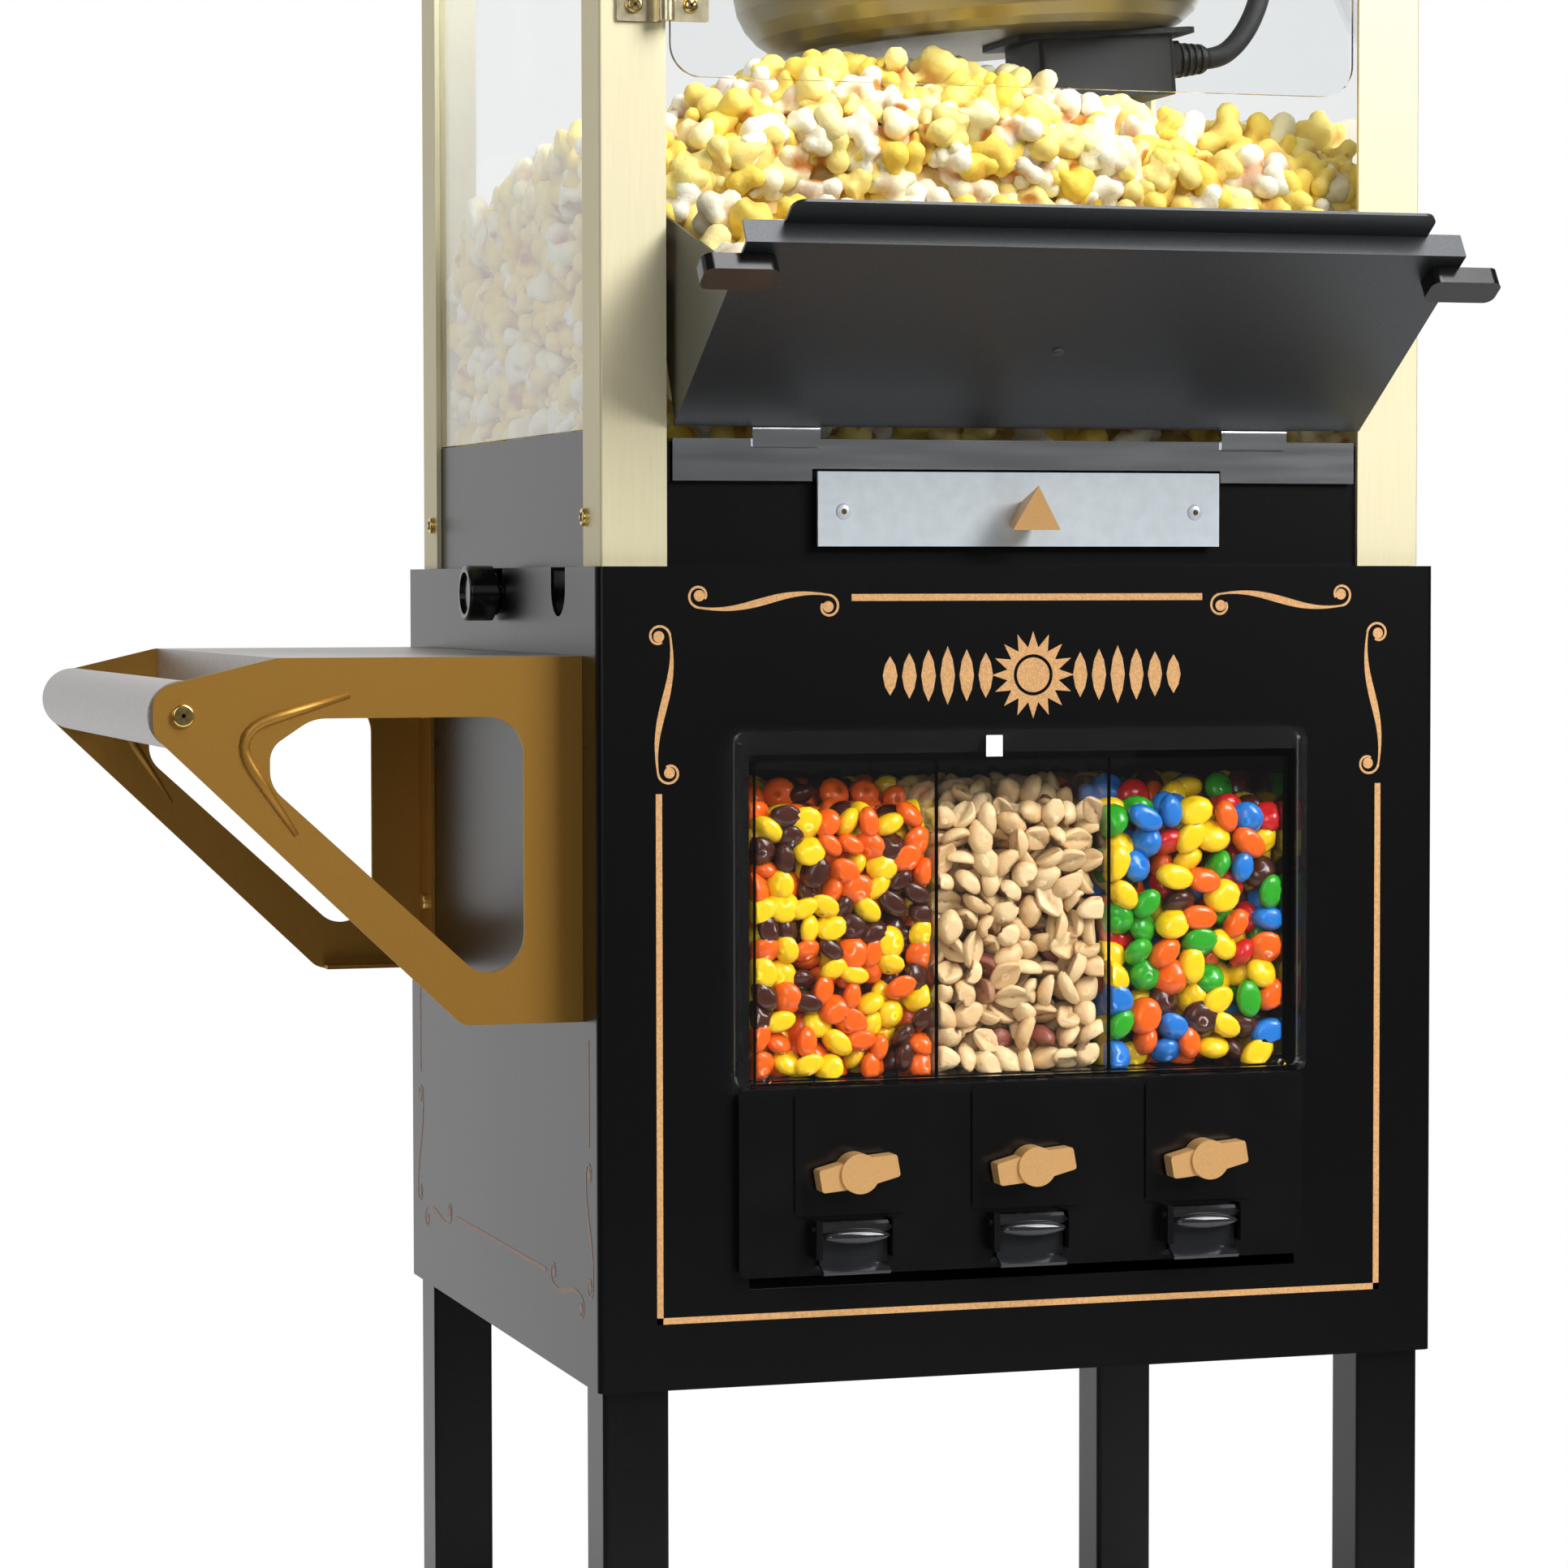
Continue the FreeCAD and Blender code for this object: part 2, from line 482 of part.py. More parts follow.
# ---- glazing ----
GLASS_T = 3.0
GLASS_Z = (BASE_H + 0.5, ROOF_Z - 0.5)
gx = (POST_L + POST_T + 0.3, POST_R - POST_T - 0.3)
gy = (POST_F + POST_T + 0.3, POST_B - POST_T - 0.3)
side_y = (gy[0] + 3.5, gy[1] - GLASS_T - 0.5)
sides = [rounded_box(a, b, *side_y, *GLASS_Z, EX, 2.0)
         for a, b in ((gx[0], gx[0] + GLASS_T), (gx[1] - GLASS_T, gx[1]))]
keep("side_glass", Part.makeCompound(sides))
keep("rear_glass", rounded_box(*gx, gy[1] - GLASS_T, gy[1], *GLASS_Z, EY, 2.0))

DOOR_X = (29.3, 301.9)
DOOR_Z = (180.2, ROOF_Z - 14.0)
DOOR_Y = (1.0, 4.6)
HINGE_X = 27.0
HINGE_R = 3.2
HINGE_ZS = (200.0, 395.0)
HINGE_LEN = 34.0
keep("door_glass", rounded_box(*DOOR_X, DOOR_Y[0] + 0.6, DOOR_Y[1] - 0.6, *DOOR_Z, EY, 12.0))
HINGE_Y = -1.2
fixed = []
leaves = []
for z in HINGE_ZS:
    third = HINGE_LEN / 3
    plate = rounded_box(9.5, HINGE_X, 4.0, 5.2, z, z + HINGE_LEN, EY, 1.0)
    arm = box(HINGE_X - 2.6, HINGE_X - 1.4, HINGE_Y, 5.2, z, z + HINGE_LEN)
    barrel = cyl(HINGE_R, (HINGE_X, HINGE_Y, z), (HINGE_X, HINGE_Y, z + HINGE_LEN))
    gap = cyl(HINGE_R + 0.5, (HINGE_X, HINGE_Y, z + third), (HINGE_X, HINGE_Y, z + 2 * third))
    slot = box(HINGE_X - 2.7, HINGE_X + 9, HINGE_Y - 5, 3.9, z + third, z + 2 * third)
    whole = fuse([plate, arm, barrel]).cut(fuse([gap, slot]))
    pin = cyl(1.2, (HINGE_X, HINGE_Y, z + 1), (HINGE_X, HINGE_Y, z + HINGE_LEN - 1))
    fixed.append(fuse([whole, pin]))
    leaf = rounded_box(HINGE_X, 43.5, 0.3, 1.5, z, z + HINGE_LEN, EY, 1.0)
    leaf = leaf.cut(cyl(HINGE_R + 0.5, (HINGE_X, HINGE_Y, z - 1), (HINGE_X, HINGE_Y, z + HINGE_LEN + 1)))
    knuckle = cyl(HINGE_R, (HINGE_X, HINGE_Y, z + third + 0.3), (HINGE_X, HINGE_Y, z + 2 * third - 0.3))
    web = box(HINGE_X, HINGE_X + 5, 0.3, 1.5, z + third + 0.3, z + 2 * third - 0.3)
    bore = cyl(1.3, (HINGE_X, HINGE_Y, z - 1), (HINGE_X, HINGE_Y, z + HINGE_LEN + 1))
    leaves.append(fuse([leaf, knuckle, web]).cut(bore))
keep("door_hinge_brackets", Part.makeCompound(fixed))
keep("door_hinge_leaves", Part.makeCompound(leaves))
pull = rounded_box(282.0, 294.0, -18.0, -12.0, 270.0, 350.0, EZ, 2.5)
stems = [cyl(3.0, (288.0, -13.0, z), (288.0, DOOR_Y[0] + 0.5, z)) for z in (280.0, 340.0)]
keep("door_handle", fuse([pull] + stems))


# ---- tilt-out hatch ----
HATCH_X = (30.5, 305.6)
HATCH_T = 1.2
HINGE_CLEAR = 1.9
LIP_X = (46.0, 292.0)

# built shut, then opened about its hinge line
panel = box(*HATCH_X, 0, HATCH_T, HINGE_CLEAR, HATCH_LEN)
flange = box(*HATCH_X, 0, HATCH_FLANGE, HATCH_LEN - HATCH_T, HATCH_LEN)
lip = rounded_box(*LIP_X, HATCH_FLANGE - HATCH_T, HATCH_FLANGE, HATCH_LEN - 12,
                  HATCH_LEN + HATCH_LIP_LEN, EY, 5.0)
lip = lip.common(box(*LIP_X, 0, 20, HATCH_LEN - HATCH_T, HATCH_LEN + 30))
wing_side = [(0, 4.0), (0, 98.4), (85.0, 22.5), (80.0, 14.0)]
wings = [side_prism(wing_side, a, a + HATCH_T) for a in (HATCH_X[0], HATCH_X[1] - HATCH_T)]
hatch = fuse([panel, flange, lip] + wings)
PLACE = V(0, HATCH_Y, HATCH_Z)


def open_hatch(shape):
    shape.translate(PLACE)
    return turned(shape, (0, HATCH_Y, HATCH_Z), EX, HATCH_OPEN)


keep("hatch_panel", open_hatch(hatch))
grips = []
for a, b in ((16.0, 44.0), (293.5, 321.5)):
    tab = rounded_box(a, b, -7.0, -0.1, 96.0, 108.5, EY, 3.8)
    grips.append(open_hatch(tab))
keep("hatch_grips", Part.makeCompound(grips))
clips = []
for a, b in ((61.0, 87.4), (248.5, 275.3)):
    clip = box(a, b, 3.4, 4.5, 44.5, HATCH_Z)
    roll = cyl(1.6, (a, HATCH_Y, HATCH_Z), (b, HATCH_Y, HATCH_Z))
    clips.append(fuse([clip, roll]))
keep("hatch_hinges", Part.makeCompound(clips))


# ---- kettle, hung on two arms and tilting to the left about a front-to-back line ----
PIVOT_Z = KETTLE_FLOOR_Z + 56.0
PIVOT = (KETTLE_X, KETTLE_Y, PIVOT_Z)
RIM_Z = KETTLE_FLOOR_Z + KETTLE_H
CORNER = 26.0
WALL = 1.6


def dish(r, z_bottom, corner):
    """Half outline (r, z) of a dish with an elliptical lower corner."""
    pts = [(0, z_bottom), (r - corner, z_bottom)]
    steps = 6
    for i in range(1, steps + 1):
        a = math.radians(90.0 * i / steps)
        pts.append((r - corner + corner * math.sin(a), z_bottom + corner * (1 - math.cos(a))))
    return pts + [(r, RIM_Z), (0, RIM_Z)]


def hang(shape):
    return turned(shape, PIVOT, EY, KETTLE_TILT)


bowl = revolve(dish(KETTLE_R, KETTLE_FLOOR_Z, CORNER), KETTLE_X, KETTLE_Y)
space = dish(KETTLE_R - WALL, KETTLE_FLOOR_Z + 2.5, CORNER - WALL)
space = [(r, z + 1 if z > RIM_Z - 1 else z) for r, z in space]
bowl = bowl.cut(revolve(space, KETTLE_X, KETTLE_Y))
cover = cyl(KETTLE_R + 1, (KETTLE_X, KETTLE_Y, RIM_Z), (KETTLE_X, KETTLE_Y, RIM_Z + 1.5))
BRIDGE = 26.0
cover = cover.common(box(0, 400, KETTLE_Y - BRIDGE, 400, 0, 400))
cover = cover.cut(cyl(3.2, (KETTLE_X, KETTLE_Y, RIM_Z - 1), (KETTLE_X, KETTLE_Y, RIM_Z + 3)))
STUD_OUT = 13.0
studs = [cyl(4.0, (KETTLE_X, KETTLE_Y + s * (KETTLE_R - 1.0), PIVOT_Z),
             (KETTLE_X, KETTLE_Y + s * (KETTLE_R + STUD_OUT), PIVOT_Z)) for s in (-1, 1)]
lever_y = KETTLE_Y - KETTLE_R - STUD_OUT
lever = box(KETTLE_X - 4, KETTLE_X + 4, lever_y, lever_y + 3, PIVOT_Z - 4, PIVOT_Z + 62)
ball = Part.makeSphere(4.8, V(KETTLE_X, lever_y - 1.5, PIVOT_Z + 62))
keep("kettle_bowl", hang(fuse([bowl, cover] + studs + [lever, ball])))
lid_z = RIM_Z + 0.2
lid = cyl(KETTLE_R + 1, (KETTLE_X, KETTLE_Y, lid_z), (KETTLE_X, KETTLE_Y, lid_z + 1.5))
lid = lid.common(box(0, 400, 0, KETTLE_Y - BRIDGE - 0.4, 0, 400))
tab = rounded_box(KETTLE_X - 14, KETTLE_X + 14, KETTLE_Y - 74, KETTLE_Y - 66, lid_z + 1.5, lid_z + 11, EX, 2.0)
keep("kettle_lid", hang(fuse([lid, tab])))
motor = cyl(24.0, (KETTLE_X, KETTLE_Y, RIM_Z + 1.6), (KETTLE_X, KETTLE_Y, RIM_Z + 38))
motor = round_edges(motor, 3.0, lambda e: isinstance(e.Curve, Part.Circle) and e.Vertexes[0].Z > RIM_Z + 30)
gearbox = rounded_box(KETTLE_X - 25, KETTLE_X + 25, KETTLE_Y - 24, KETTLE_Y + 40,
                      RIM_Z + 1.6, RIM_Z + 14, EZ, 6.0)
socket = cyl(3.1, (KETTLE_X, KETTLE_Y, RIM_Z), (KETTLE_X, KETTLE_Y, RIM_Z + 12))
keep("gear_motor", hang(fuse([motor, gearbox]).cut(socket)))
rod = cyl(3.0, (KETTLE_X, KETTLE_Y, KETTLE_FLOOR_Z + 5), (KETTLE_X, KETTLE_Y, RIM_Z + 11.8))
ARM_Z = KETTLE_FLOOR_Z + 7.5
arms = cyl(2.0, (KETTLE_X - 78, KETTLE_Y, ARM_Z), (KETTLE_X + 78, KETTLE_Y, ARM_Z))
tips = [cyl(1.6, (KETTLE_X + s * 60, KETTLE_Y, ARM_Z), (KETTLE_X + s * 60, KETTLE_Y + s * 24, ARM_Z))
        for s in (-1, 1)]
keep("stir_rod", hang(fuse([rod, arms] + tips)))

PLUG_Y = 105.0
PLUG_Z = KETTLE_FLOOR_Z - 10.0
HOUSE_X = (199.0, 256.0)
house = rounded_box(*HOUSE_X, PLUG_Y - 22, PLUG_Y + 22, KETTLE_FLOOR_Z - 26, KETTLE_FLOOR_Z - 2.0, EZ, 3.0)
rim_plate = rounded_box(HOUSE_X[0] - 9, HOUSE_X[1] + 9, PLUG_Y - 26, PLUG_Y + 26, KETTLE_FLOOR_Z - 2.2,
                        KETTLE_FLOOR_Z - 0.1, EZ, 6.0)
inlet = box(HOUSE_X[1] - 17, HOUSE_X[1] + 1, PLUG_Y - 12.4, PLUG_Y + 12.4, PLUG_Z - 8.4, PLUG_Z + 6.4)
keep("kettle_connector", hang(fuse([house, rim_plate]).cut(inlet)))
plug = rounded_box(HOUSE_X[1] - 16.5, HOUSE_X[1] + 6, PLUG_Y - 12, PLUG_Y + 12, PLUG_Z - 8, PLUG_Z + 6, EX, 2.0)
CORD_R = 4.25
RELIEF_END = 277.0
relief = Part.makeCone(6.6, 5.2, RELIEF_END - HOUSE_X[1] - 5.5, V(HOUSE_X[1] + 5.5, PLUG_Y, PLUG_Z - 1), EX)
keep("cord_plug", hang(fuse([plug, relief])))

# cord route from the plug's strain relief up to the ceiling gland
ROUTE = [(296.0, 105.0, 211.5), (303.0, 106.0, 221.0), (308.5, 108.0, 234.0), (312.0, 112.0, 253.0),
         (314.0, 118.0, 280.0), (313.5, 126.0, 314.0), (310.0, 135.0, 353.0), (305.5, 143.0, 395.0),
         (302.5, 148.0, 430.0), (302.0, 150.0, ROOF_Z)]
relief_end = V(RELIEF_END, PLUG_Y, PLUG_Z - 1)
tilt = FreeCAD.Rotation(EY, KETTLE_TILT)
start = V(*PIVOT) + tilt.multVec(relief_end - V(*PIVOT))
plug_way = tilt.multVec(EX)
LEAD_OUT = 6.5
route = [start + plug_way * 0.05, start + plug_way * LEAD_OUT] + [V(*p) for p in ROUTE]


def cord_tube(points, radius):
    """Straight runs joined by tangent arcs, swept with a round section."""
    edges = []
    at = points[0]
    total = 0.0
    for a, b, c in zip(points, points[1:], points[2:]):
        into = (b - a).normalize()
        away = (c - b).normalize()
        turn = into.getAngle(away)
        reach = 0.45 * min((b - a).Length, (c - b).Length)
        bend = reach / math.tan(turn / 2)
        print("cord radius", round(bend, 1), "turn", round(math.degrees(turn), 1))
        p = b - into * reach
        q = b + away * reach
        mid_dir = (away - into).normalize()
        mid = b + mid_dir * (bend / math.cos(turn / 2) - bend)
        edges.append(Part.LineSegment(at, p).toShape())
        edges.append(Part.Arc(p, mid, q).toShape())
        total += (p - at).Length + bend * turn
        at = q
    edges.append(Part.LineSegment(at, points[-1]).toShape())
    total += (points[-1] - at).Length
    first = points[1] - points[0]
    ring = Part.Wire(Part.makeCircle(radius, points[0], first))
    tube = Part.Wire(edges).makePipeShell([ring], True, True)
    ratio = tube.Volume / (math.pi * radius ** 2 * total)
    print("cord length", round(total, 1), "volume ratio", round(ratio, 4))
    return tube


keep("kettle_cord", cord_tube(route, CORD_R))

ARM_Y = KETTLE_R + 8.0
ARM_T = 3.0
hanger = []
for s in (-1, 1):
    y0, y1 = sorted((KETTLE_Y + s * ARM_Y, KETTLE_Y + s * (ARM_Y - ARM_T)))
    arm = box(KETTLE_X - 11, KETTLE_X + 11, y0, y1, PIVOT_Z - 11, ROOF_Z - 0.1)
    arm = round_edges(arm, 10.0, lambda e: along(e, EY) and e.Vertexes[0].Z < PIVOT_Z)
    hanger.append(arm.cut(cyl(4.1, (KETTLE_X, y0 - 1, PIVOT_Z), (KETTLE_X, y1 + 1, PIVOT_Z))))
beam = box(KETTLE_X - 11, KETTLE_X + 11, KETTLE_Y - ARM_Y, KETTLE_Y + ARM_Y, ROOF_Z - ARM_T, ROOF_Z - 0.1)
keep("kettle_hanger", fuse(hanger + [beam]))


# ---- roof ----
ROOF_OUT = 5.0
FASCIA_H = 92.0
CROWN_IN = 34.0
CEIL_T = 1.5
rx = (POST_L - ROOF_OUT, POST_R + ROOF_OUT)
ry = (POST_F - ROOF_OUT, POST_B + ROOF_OUT)


def rectangle(inset, z):
    pts = [(rx[0] + inset, ry[0] + inset), (rx[1] - inset, ry[0] + inset), (rx[1] - inset, ry[1] - inset),
           (rx[0] + inset, ry[1] - inset)]
    return Part.makePolygon([V(x, y, z) for x, y in pts + pts[:1]])


def roof_solid(inset, z0, top):
    low = rounded_box(rx[0] + inset, rx[1] - inset, ry[0] + inset, ry[1] - inset,
                      z0, ROOF_Z + FASCIA_H, EZ, 4.0)
    cap = Part.makeLoft([rectangle(inset + 3, ROOF_Z + FASCIA_H), rectangle(inset + CROWN_IN, top)], True, True)
    return low.fuse(cap)


roof = roof_solid(0, ROOF_Z + CEIL_T + 0.2, TOP)
roof = roof.cut(roof_solid(1.6, ROOF_Z, TOP - 1.6))
SWITCH_X = (232.0, 262.0)
SWITCH_Z = ROOF_Z + 44.0
for x in SWITCH_X:
    roof = roof.cut(box(x - 10.4, x + 10.4, ry[1] - 5, ry[1] + 5, SWITCH_Z - 14.4, SWITCH_Z + 14.4))
inlet_hole = cyl(8.0, (70.0, ry[1] - 5, SWITCH_Z), (70.0, ry[1] + 5, SWITCH_Z))
keep("roof_shell", roof.cut(inlet_hole))
ceiling = box(rx[0] + 1, rx[1] - 1, ry[0] + 1, ry[1] - 1, ROOF_Z + 0.1, ROOF_Z + CEIL_T)
GLAND_AT = (302.0, 150.0)
GLAND_DROP = 9.0
gland = cyl(10.0, (*GLAND_AT, ROOF_Z - GLAND_DROP), (*GLAND_AT, ROOF_Z + 0.5))
cord_hole = cyl(CORD_R + 1.2, (*GLAND_AT, ROOF_Z - GLAND_DROP - 1), (*GLAND_AT, ROOF_Z + 0.4))
keep("ceiling_plate", fuse([ceiling, gland]).cut(cord_hole))
LAMP = (90.0, 150.0)
glow = cyl(30.0, (*LAMP, ROOF_Z - 4), (*LAMP, ROOF_Z))
glow = glow.fuse(cyl(24.0, (*LAMP, ROOF_Z - 16), (*LAMP, ROOF_Z - 4)))
keep("lamp", round_edges(glow, 5.0, lambda e: isinstance(e.Curve, Part.Circle)
                         and e.Vertexes[0].Z < ROOF_Z - 15))


def rocker(x):
    side = [(-1.4, -13.0), (4.5, -13.0), (2.2, 0), (2.2, 13.0), (-1.4, 13.0)]
    return side_prism([(ry[1] + y, z + SWITCH_Z) for y, z in side], x - 9.6, x + 9.6)


for name, x in zip(("switch_light", "switch_kettle"), SWITCH_X):
    keep(name, rocker(x))


# ---- brass screws ----
def screw(x, y, z, axis, r=3.4):
    """Pan head with a plain shank; axis points out of the head."""
    d = V(*axis)
    base_at = V(x, y, z)
    head_shape = Part.makeCylinder(r, 2.0, base_at, d)
    head_shape = round_edges(head_shape, 0.9, lambda e: isinstance(e.Curve, Part.Circle)
                             and (e.Vertexes[0].Point - base_at).dot(d) > 1.5)
    return head_shape


screws = []
for z in (18.5, 410.0):
    for x, out in ((POST_L, -1), (POST_R, 1)):
        for y in (POST_F + 21.0, POST_B - 19.0):
            screws.append(screw(x, y, z, (out, 0, 0)))
screws.append(screw(HANDLE_X, BRACKET_FRONT, HANDLE_Z, (0, -1, 0), 4.2))
screws.append(screw(HANDLE_X, BRACKET_REAR, HANDLE_Z, (0, 1, 0), 4.2))
for z in HINGE_ZS:
    for dz in (6.0, HINGE_LEN - 6.0):
        screws.append(screw(16.0, 4.0, z + dz, (0, -1, 0), 3.0))
for y in (BRACKET_FRONT + 13.0, BRACKET_REAR - 13.0):
    for z in (-60.0, -141.6):
        screws.append(screw(-BRACKET_T - 0.1, y, z, (-1, 0, 0), 3.6))
keep("screws", Part.makeCompound(screws))


# ---- origin and export ----
Y_MIN = HATCH_Y - (HATCH_LEN + HATCH_LIP_LEN) * math.sin(math.radians(HATCH_OPEN)) \
    + (HATCH_FLANGE - HATCH_T) * math.cos(math.radians(HATCH_OPEN))
SHIFT = V(-(X_MIN + X_MAX) / 2, -(Y_MIN + Y_MAX) / 2, -FLOOR)
os.makedirs("parts", exist_ok=True)
for name, shape in parts.items():
    shape.translate(SHIFT)
    shape.exportStep("parts/" + name + ".step")
print(len(parts), "parts, origin shift", SHIFT)
whole = Part.makeCompound(list(parts.values())).BoundBox
print("box", whole)
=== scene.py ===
import bpy
import bmesh
import json
import math
import random
import numpy as np
from mathutils import Matrix, Vector


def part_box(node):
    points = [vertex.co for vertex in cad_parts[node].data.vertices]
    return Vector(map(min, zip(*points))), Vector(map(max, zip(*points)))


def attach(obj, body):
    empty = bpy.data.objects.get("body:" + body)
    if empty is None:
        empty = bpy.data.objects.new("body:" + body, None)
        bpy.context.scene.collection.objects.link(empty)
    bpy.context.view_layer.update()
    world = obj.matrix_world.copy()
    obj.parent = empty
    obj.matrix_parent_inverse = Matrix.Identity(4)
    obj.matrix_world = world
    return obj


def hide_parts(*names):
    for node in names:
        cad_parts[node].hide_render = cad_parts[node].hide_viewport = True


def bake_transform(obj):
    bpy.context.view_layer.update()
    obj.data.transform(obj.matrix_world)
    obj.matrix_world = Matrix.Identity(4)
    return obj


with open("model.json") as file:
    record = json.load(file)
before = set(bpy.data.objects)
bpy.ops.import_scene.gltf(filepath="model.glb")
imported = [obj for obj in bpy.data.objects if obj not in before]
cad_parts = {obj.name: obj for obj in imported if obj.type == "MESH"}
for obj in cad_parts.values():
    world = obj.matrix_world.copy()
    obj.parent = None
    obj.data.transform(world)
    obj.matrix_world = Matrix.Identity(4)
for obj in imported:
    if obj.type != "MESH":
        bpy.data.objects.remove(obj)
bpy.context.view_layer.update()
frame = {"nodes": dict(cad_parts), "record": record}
NODES = frame["nodes"]
MM = 0.001
cab_lo, cab_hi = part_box("cabinet_shell")


def at(x, y, z):
    """Millimetres from the cabinet's top front left corner, as metres in the frame."""
    return Vector((cab_lo[0] + x * MM, cab_lo[1] + y * MM, cab_hi[2] + z * MM))


# ---- camera, lights and world ----
CAMERA_AT = (-433.77, -1647.69, -6.32)
CAMERA_YAW = 17.06
CAMERA_PITCH = 2.479
CAMERA_ROLL = 0.097
LENS = 106.36

camera_data = bpy.data.cameras.new("camera")
camera_data.lens = LENS
camera_data.sensor_width = 36.0
camera = bpy.data.objects.new("camera", camera_data)
bpy.context.collection.objects.link(camera)
turn = Matrix.Rotation(math.radians(-CAMERA_YAW), 4, "Z")
tip = Matrix.Rotation(math.radians(90.0 - CAMERA_PITCH), 4, "X")
roll = Matrix.Rotation(math.radians(-CAMERA_ROLL), 4, "Z")
camera.matrix_world = Matrix.Translation(at(*CAMERA_AT)) @ turn @ tip @ roll
bpy.context.scene.camera = camera
bpy.context.scene.view_settings.view_transform = "Standard"


def area_light(name, place, aim, size, power):
    data = bpy.data.lights.new(name, "AREA")
    data.shape = "RECTANGLE"
    data.size, data.size_y = size
    data.energy = power
    light = bpy.data.objects.new(name, data)
    bpy.context.collection.objects.link(light)
    light.location = place
    light.rotation_euler = (Vector(aim) - Vector(place)).to_track_quat("-Z", "Y").to_euler()
    light.visible_camera = False
    return light


aim_at = at(150, 150, 0)
area_light("key_front_right", (1.5, -2.2, 2.3), aim_at, (1.3, 1.6), 85)
area_light("fill_front_left", (-1.2, -2.6, 1.5), aim_at, (0.9, 1.4), 12)
area_light("side_left", (-2.4, 0.3, 1.5), aim_at, (1.2, 1.2), 5)
area_light("top_front", (0.75, -1.15, 3.0), aim_at, (1.1, 1.1), 26)
area_light("back_right", (1.9, 1.9, 1.6), aim_at, (1.4, 2.0), 18)

world = bpy.data.worlds.new("studio")
bpy.context.scene.world = world
world.use_nodes = True
wn, wl = world.node_tree.nodes, world.node_tree.links
wn.clear()
out = wn.new("ShaderNodeOutputWorld")
seen = wn.new("ShaderNodeBackground")
seen.inputs[0].default_value = (1, 1, 1, 1)
soft = wn.new("ShaderNodeBackground")
soft.inputs[1].default_value = 0.75
coord = wn.new("ShaderNodeTexCoord")
split = wn.new("ShaderNodeSeparateXYZ")
ramp = wn.new("ShaderNodeValToRGB")
ramp.color_ramp.elements[0].position = 0.68
ramp.color_ramp.elements[0].color = (0.10, 0.10, 0.10, 1)
ramp.color_ramp.elements[1].position = 0.97
ramp.color_ramp.elements[1].color = (1.2, 1.2, 1.2, 1)
span = wn.new("ShaderNodeMapRange")
span.inputs["From Min"].default_value = -1.0
path = wn.new("ShaderNodeLightPath")
mix = wn.new("ShaderNodeMixShader")
wl.new(coord.outputs["Generated"], split.inputs[0])
wl.new(split.outputs["Y"], span.inputs["Value"])
wl.new(span.outputs[0], ramp.inputs[0])
wl.new(ramp.outputs[0], soft.inputs[0])
wl.new(path.outputs["Is Camera Ray"], mix.inputs[0])
wl.new(soft.outputs[0], mix.inputs[1])
wl.new(seen.outputs[0], mix.inputs[2])
wl.new(mix.outputs[0], out.inputs[0])


# ---- materials ----
def shader(name):
    mat = bpy.data.materials.new(name)
    mat.use_nodes = True
    nodes, links = mat.node_tree.nodes, mat.node_tree.links
    return mat, nodes, links, nodes["Principled BSDF"]


def tone(color, k):
    return (color[0] * k, color[1] * k, color[2] * k, 1)


def surface(name, color, rough, scale, metallic=0.0, spread=0.12, bump=0.0, bump_scale=900.0,
            stretch=(1, 1, 1), coat=0.0, specular=0.5):
    """Noise-driven colour, roughness and bump: the base of every opaque material."""
    mat, nodes, links, bsdf = shader(name)
    bsdf.inputs["Metallic"].default_value = metallic
    bsdf.inputs["Coat Weight"].default_value = coat
    bsdf.inputs["Specular IOR Level"].default_value = specular
    place = nodes.new("ShaderNodeTexCoord")
    mapping = nodes.new("ShaderNodeMapping")
    mapping.inputs["Scale"].default_value = stretch
    noise = nodes.new("ShaderNodeTexNoise")
    noise.inputs["Scale"].default_value = scale
    noise.inputs["Detail"].default_value = 5.0
    hue = nodes.new("ShaderNodeValToRGB")
    hue.color_ramp.elements[0].position = 0.3
    hue.color_ramp.elements[1].position = 0.7
    hue.color_ramp.elements[0].color = tone(color, 1 - spread)
    hue.color_ramp.elements[1].color = tone(color, 1 + spread)
    dull = nodes.new("ShaderNodeMapRange")
    dull.inputs["To Min"].default_value = rough[0]
    dull.inputs["To Max"].default_value = rough[1]
    links.new(place.outputs["Object"], mapping.inputs[0])
    links.new(mapping.outputs[0], noise.inputs["Vector"])
    links.new(noise.outputs["Fac"], hue.inputs[0])
    links.new(noise.outputs["Fac"], dull.inputs["Value"])
    links.new(hue.outputs[0], bsdf.inputs["Base Color"])
    links.new(dull.outputs[0], bsdf.inputs["Roughness"])
    if bump:
        grain = nodes.new("ShaderNodeTexNoise")
        grain.inputs["Scale"].default_value = bump_scale
        grain.inputs["Detail"].default_value = 3.0
        lift = nodes.new("ShaderNodeBump")
        lift.inputs["Strength"].default_value = bump
        lift.inputs["Distance"].default_value = 0.0004
        links.new(mapping.outputs[0], grain.inputs["Vector"])
        links.new(grain.outputs["Fac"], lift.inputs["Height"])
        links.new(lift.outputs[0], bsdf.inputs["Normal"])
    return mat


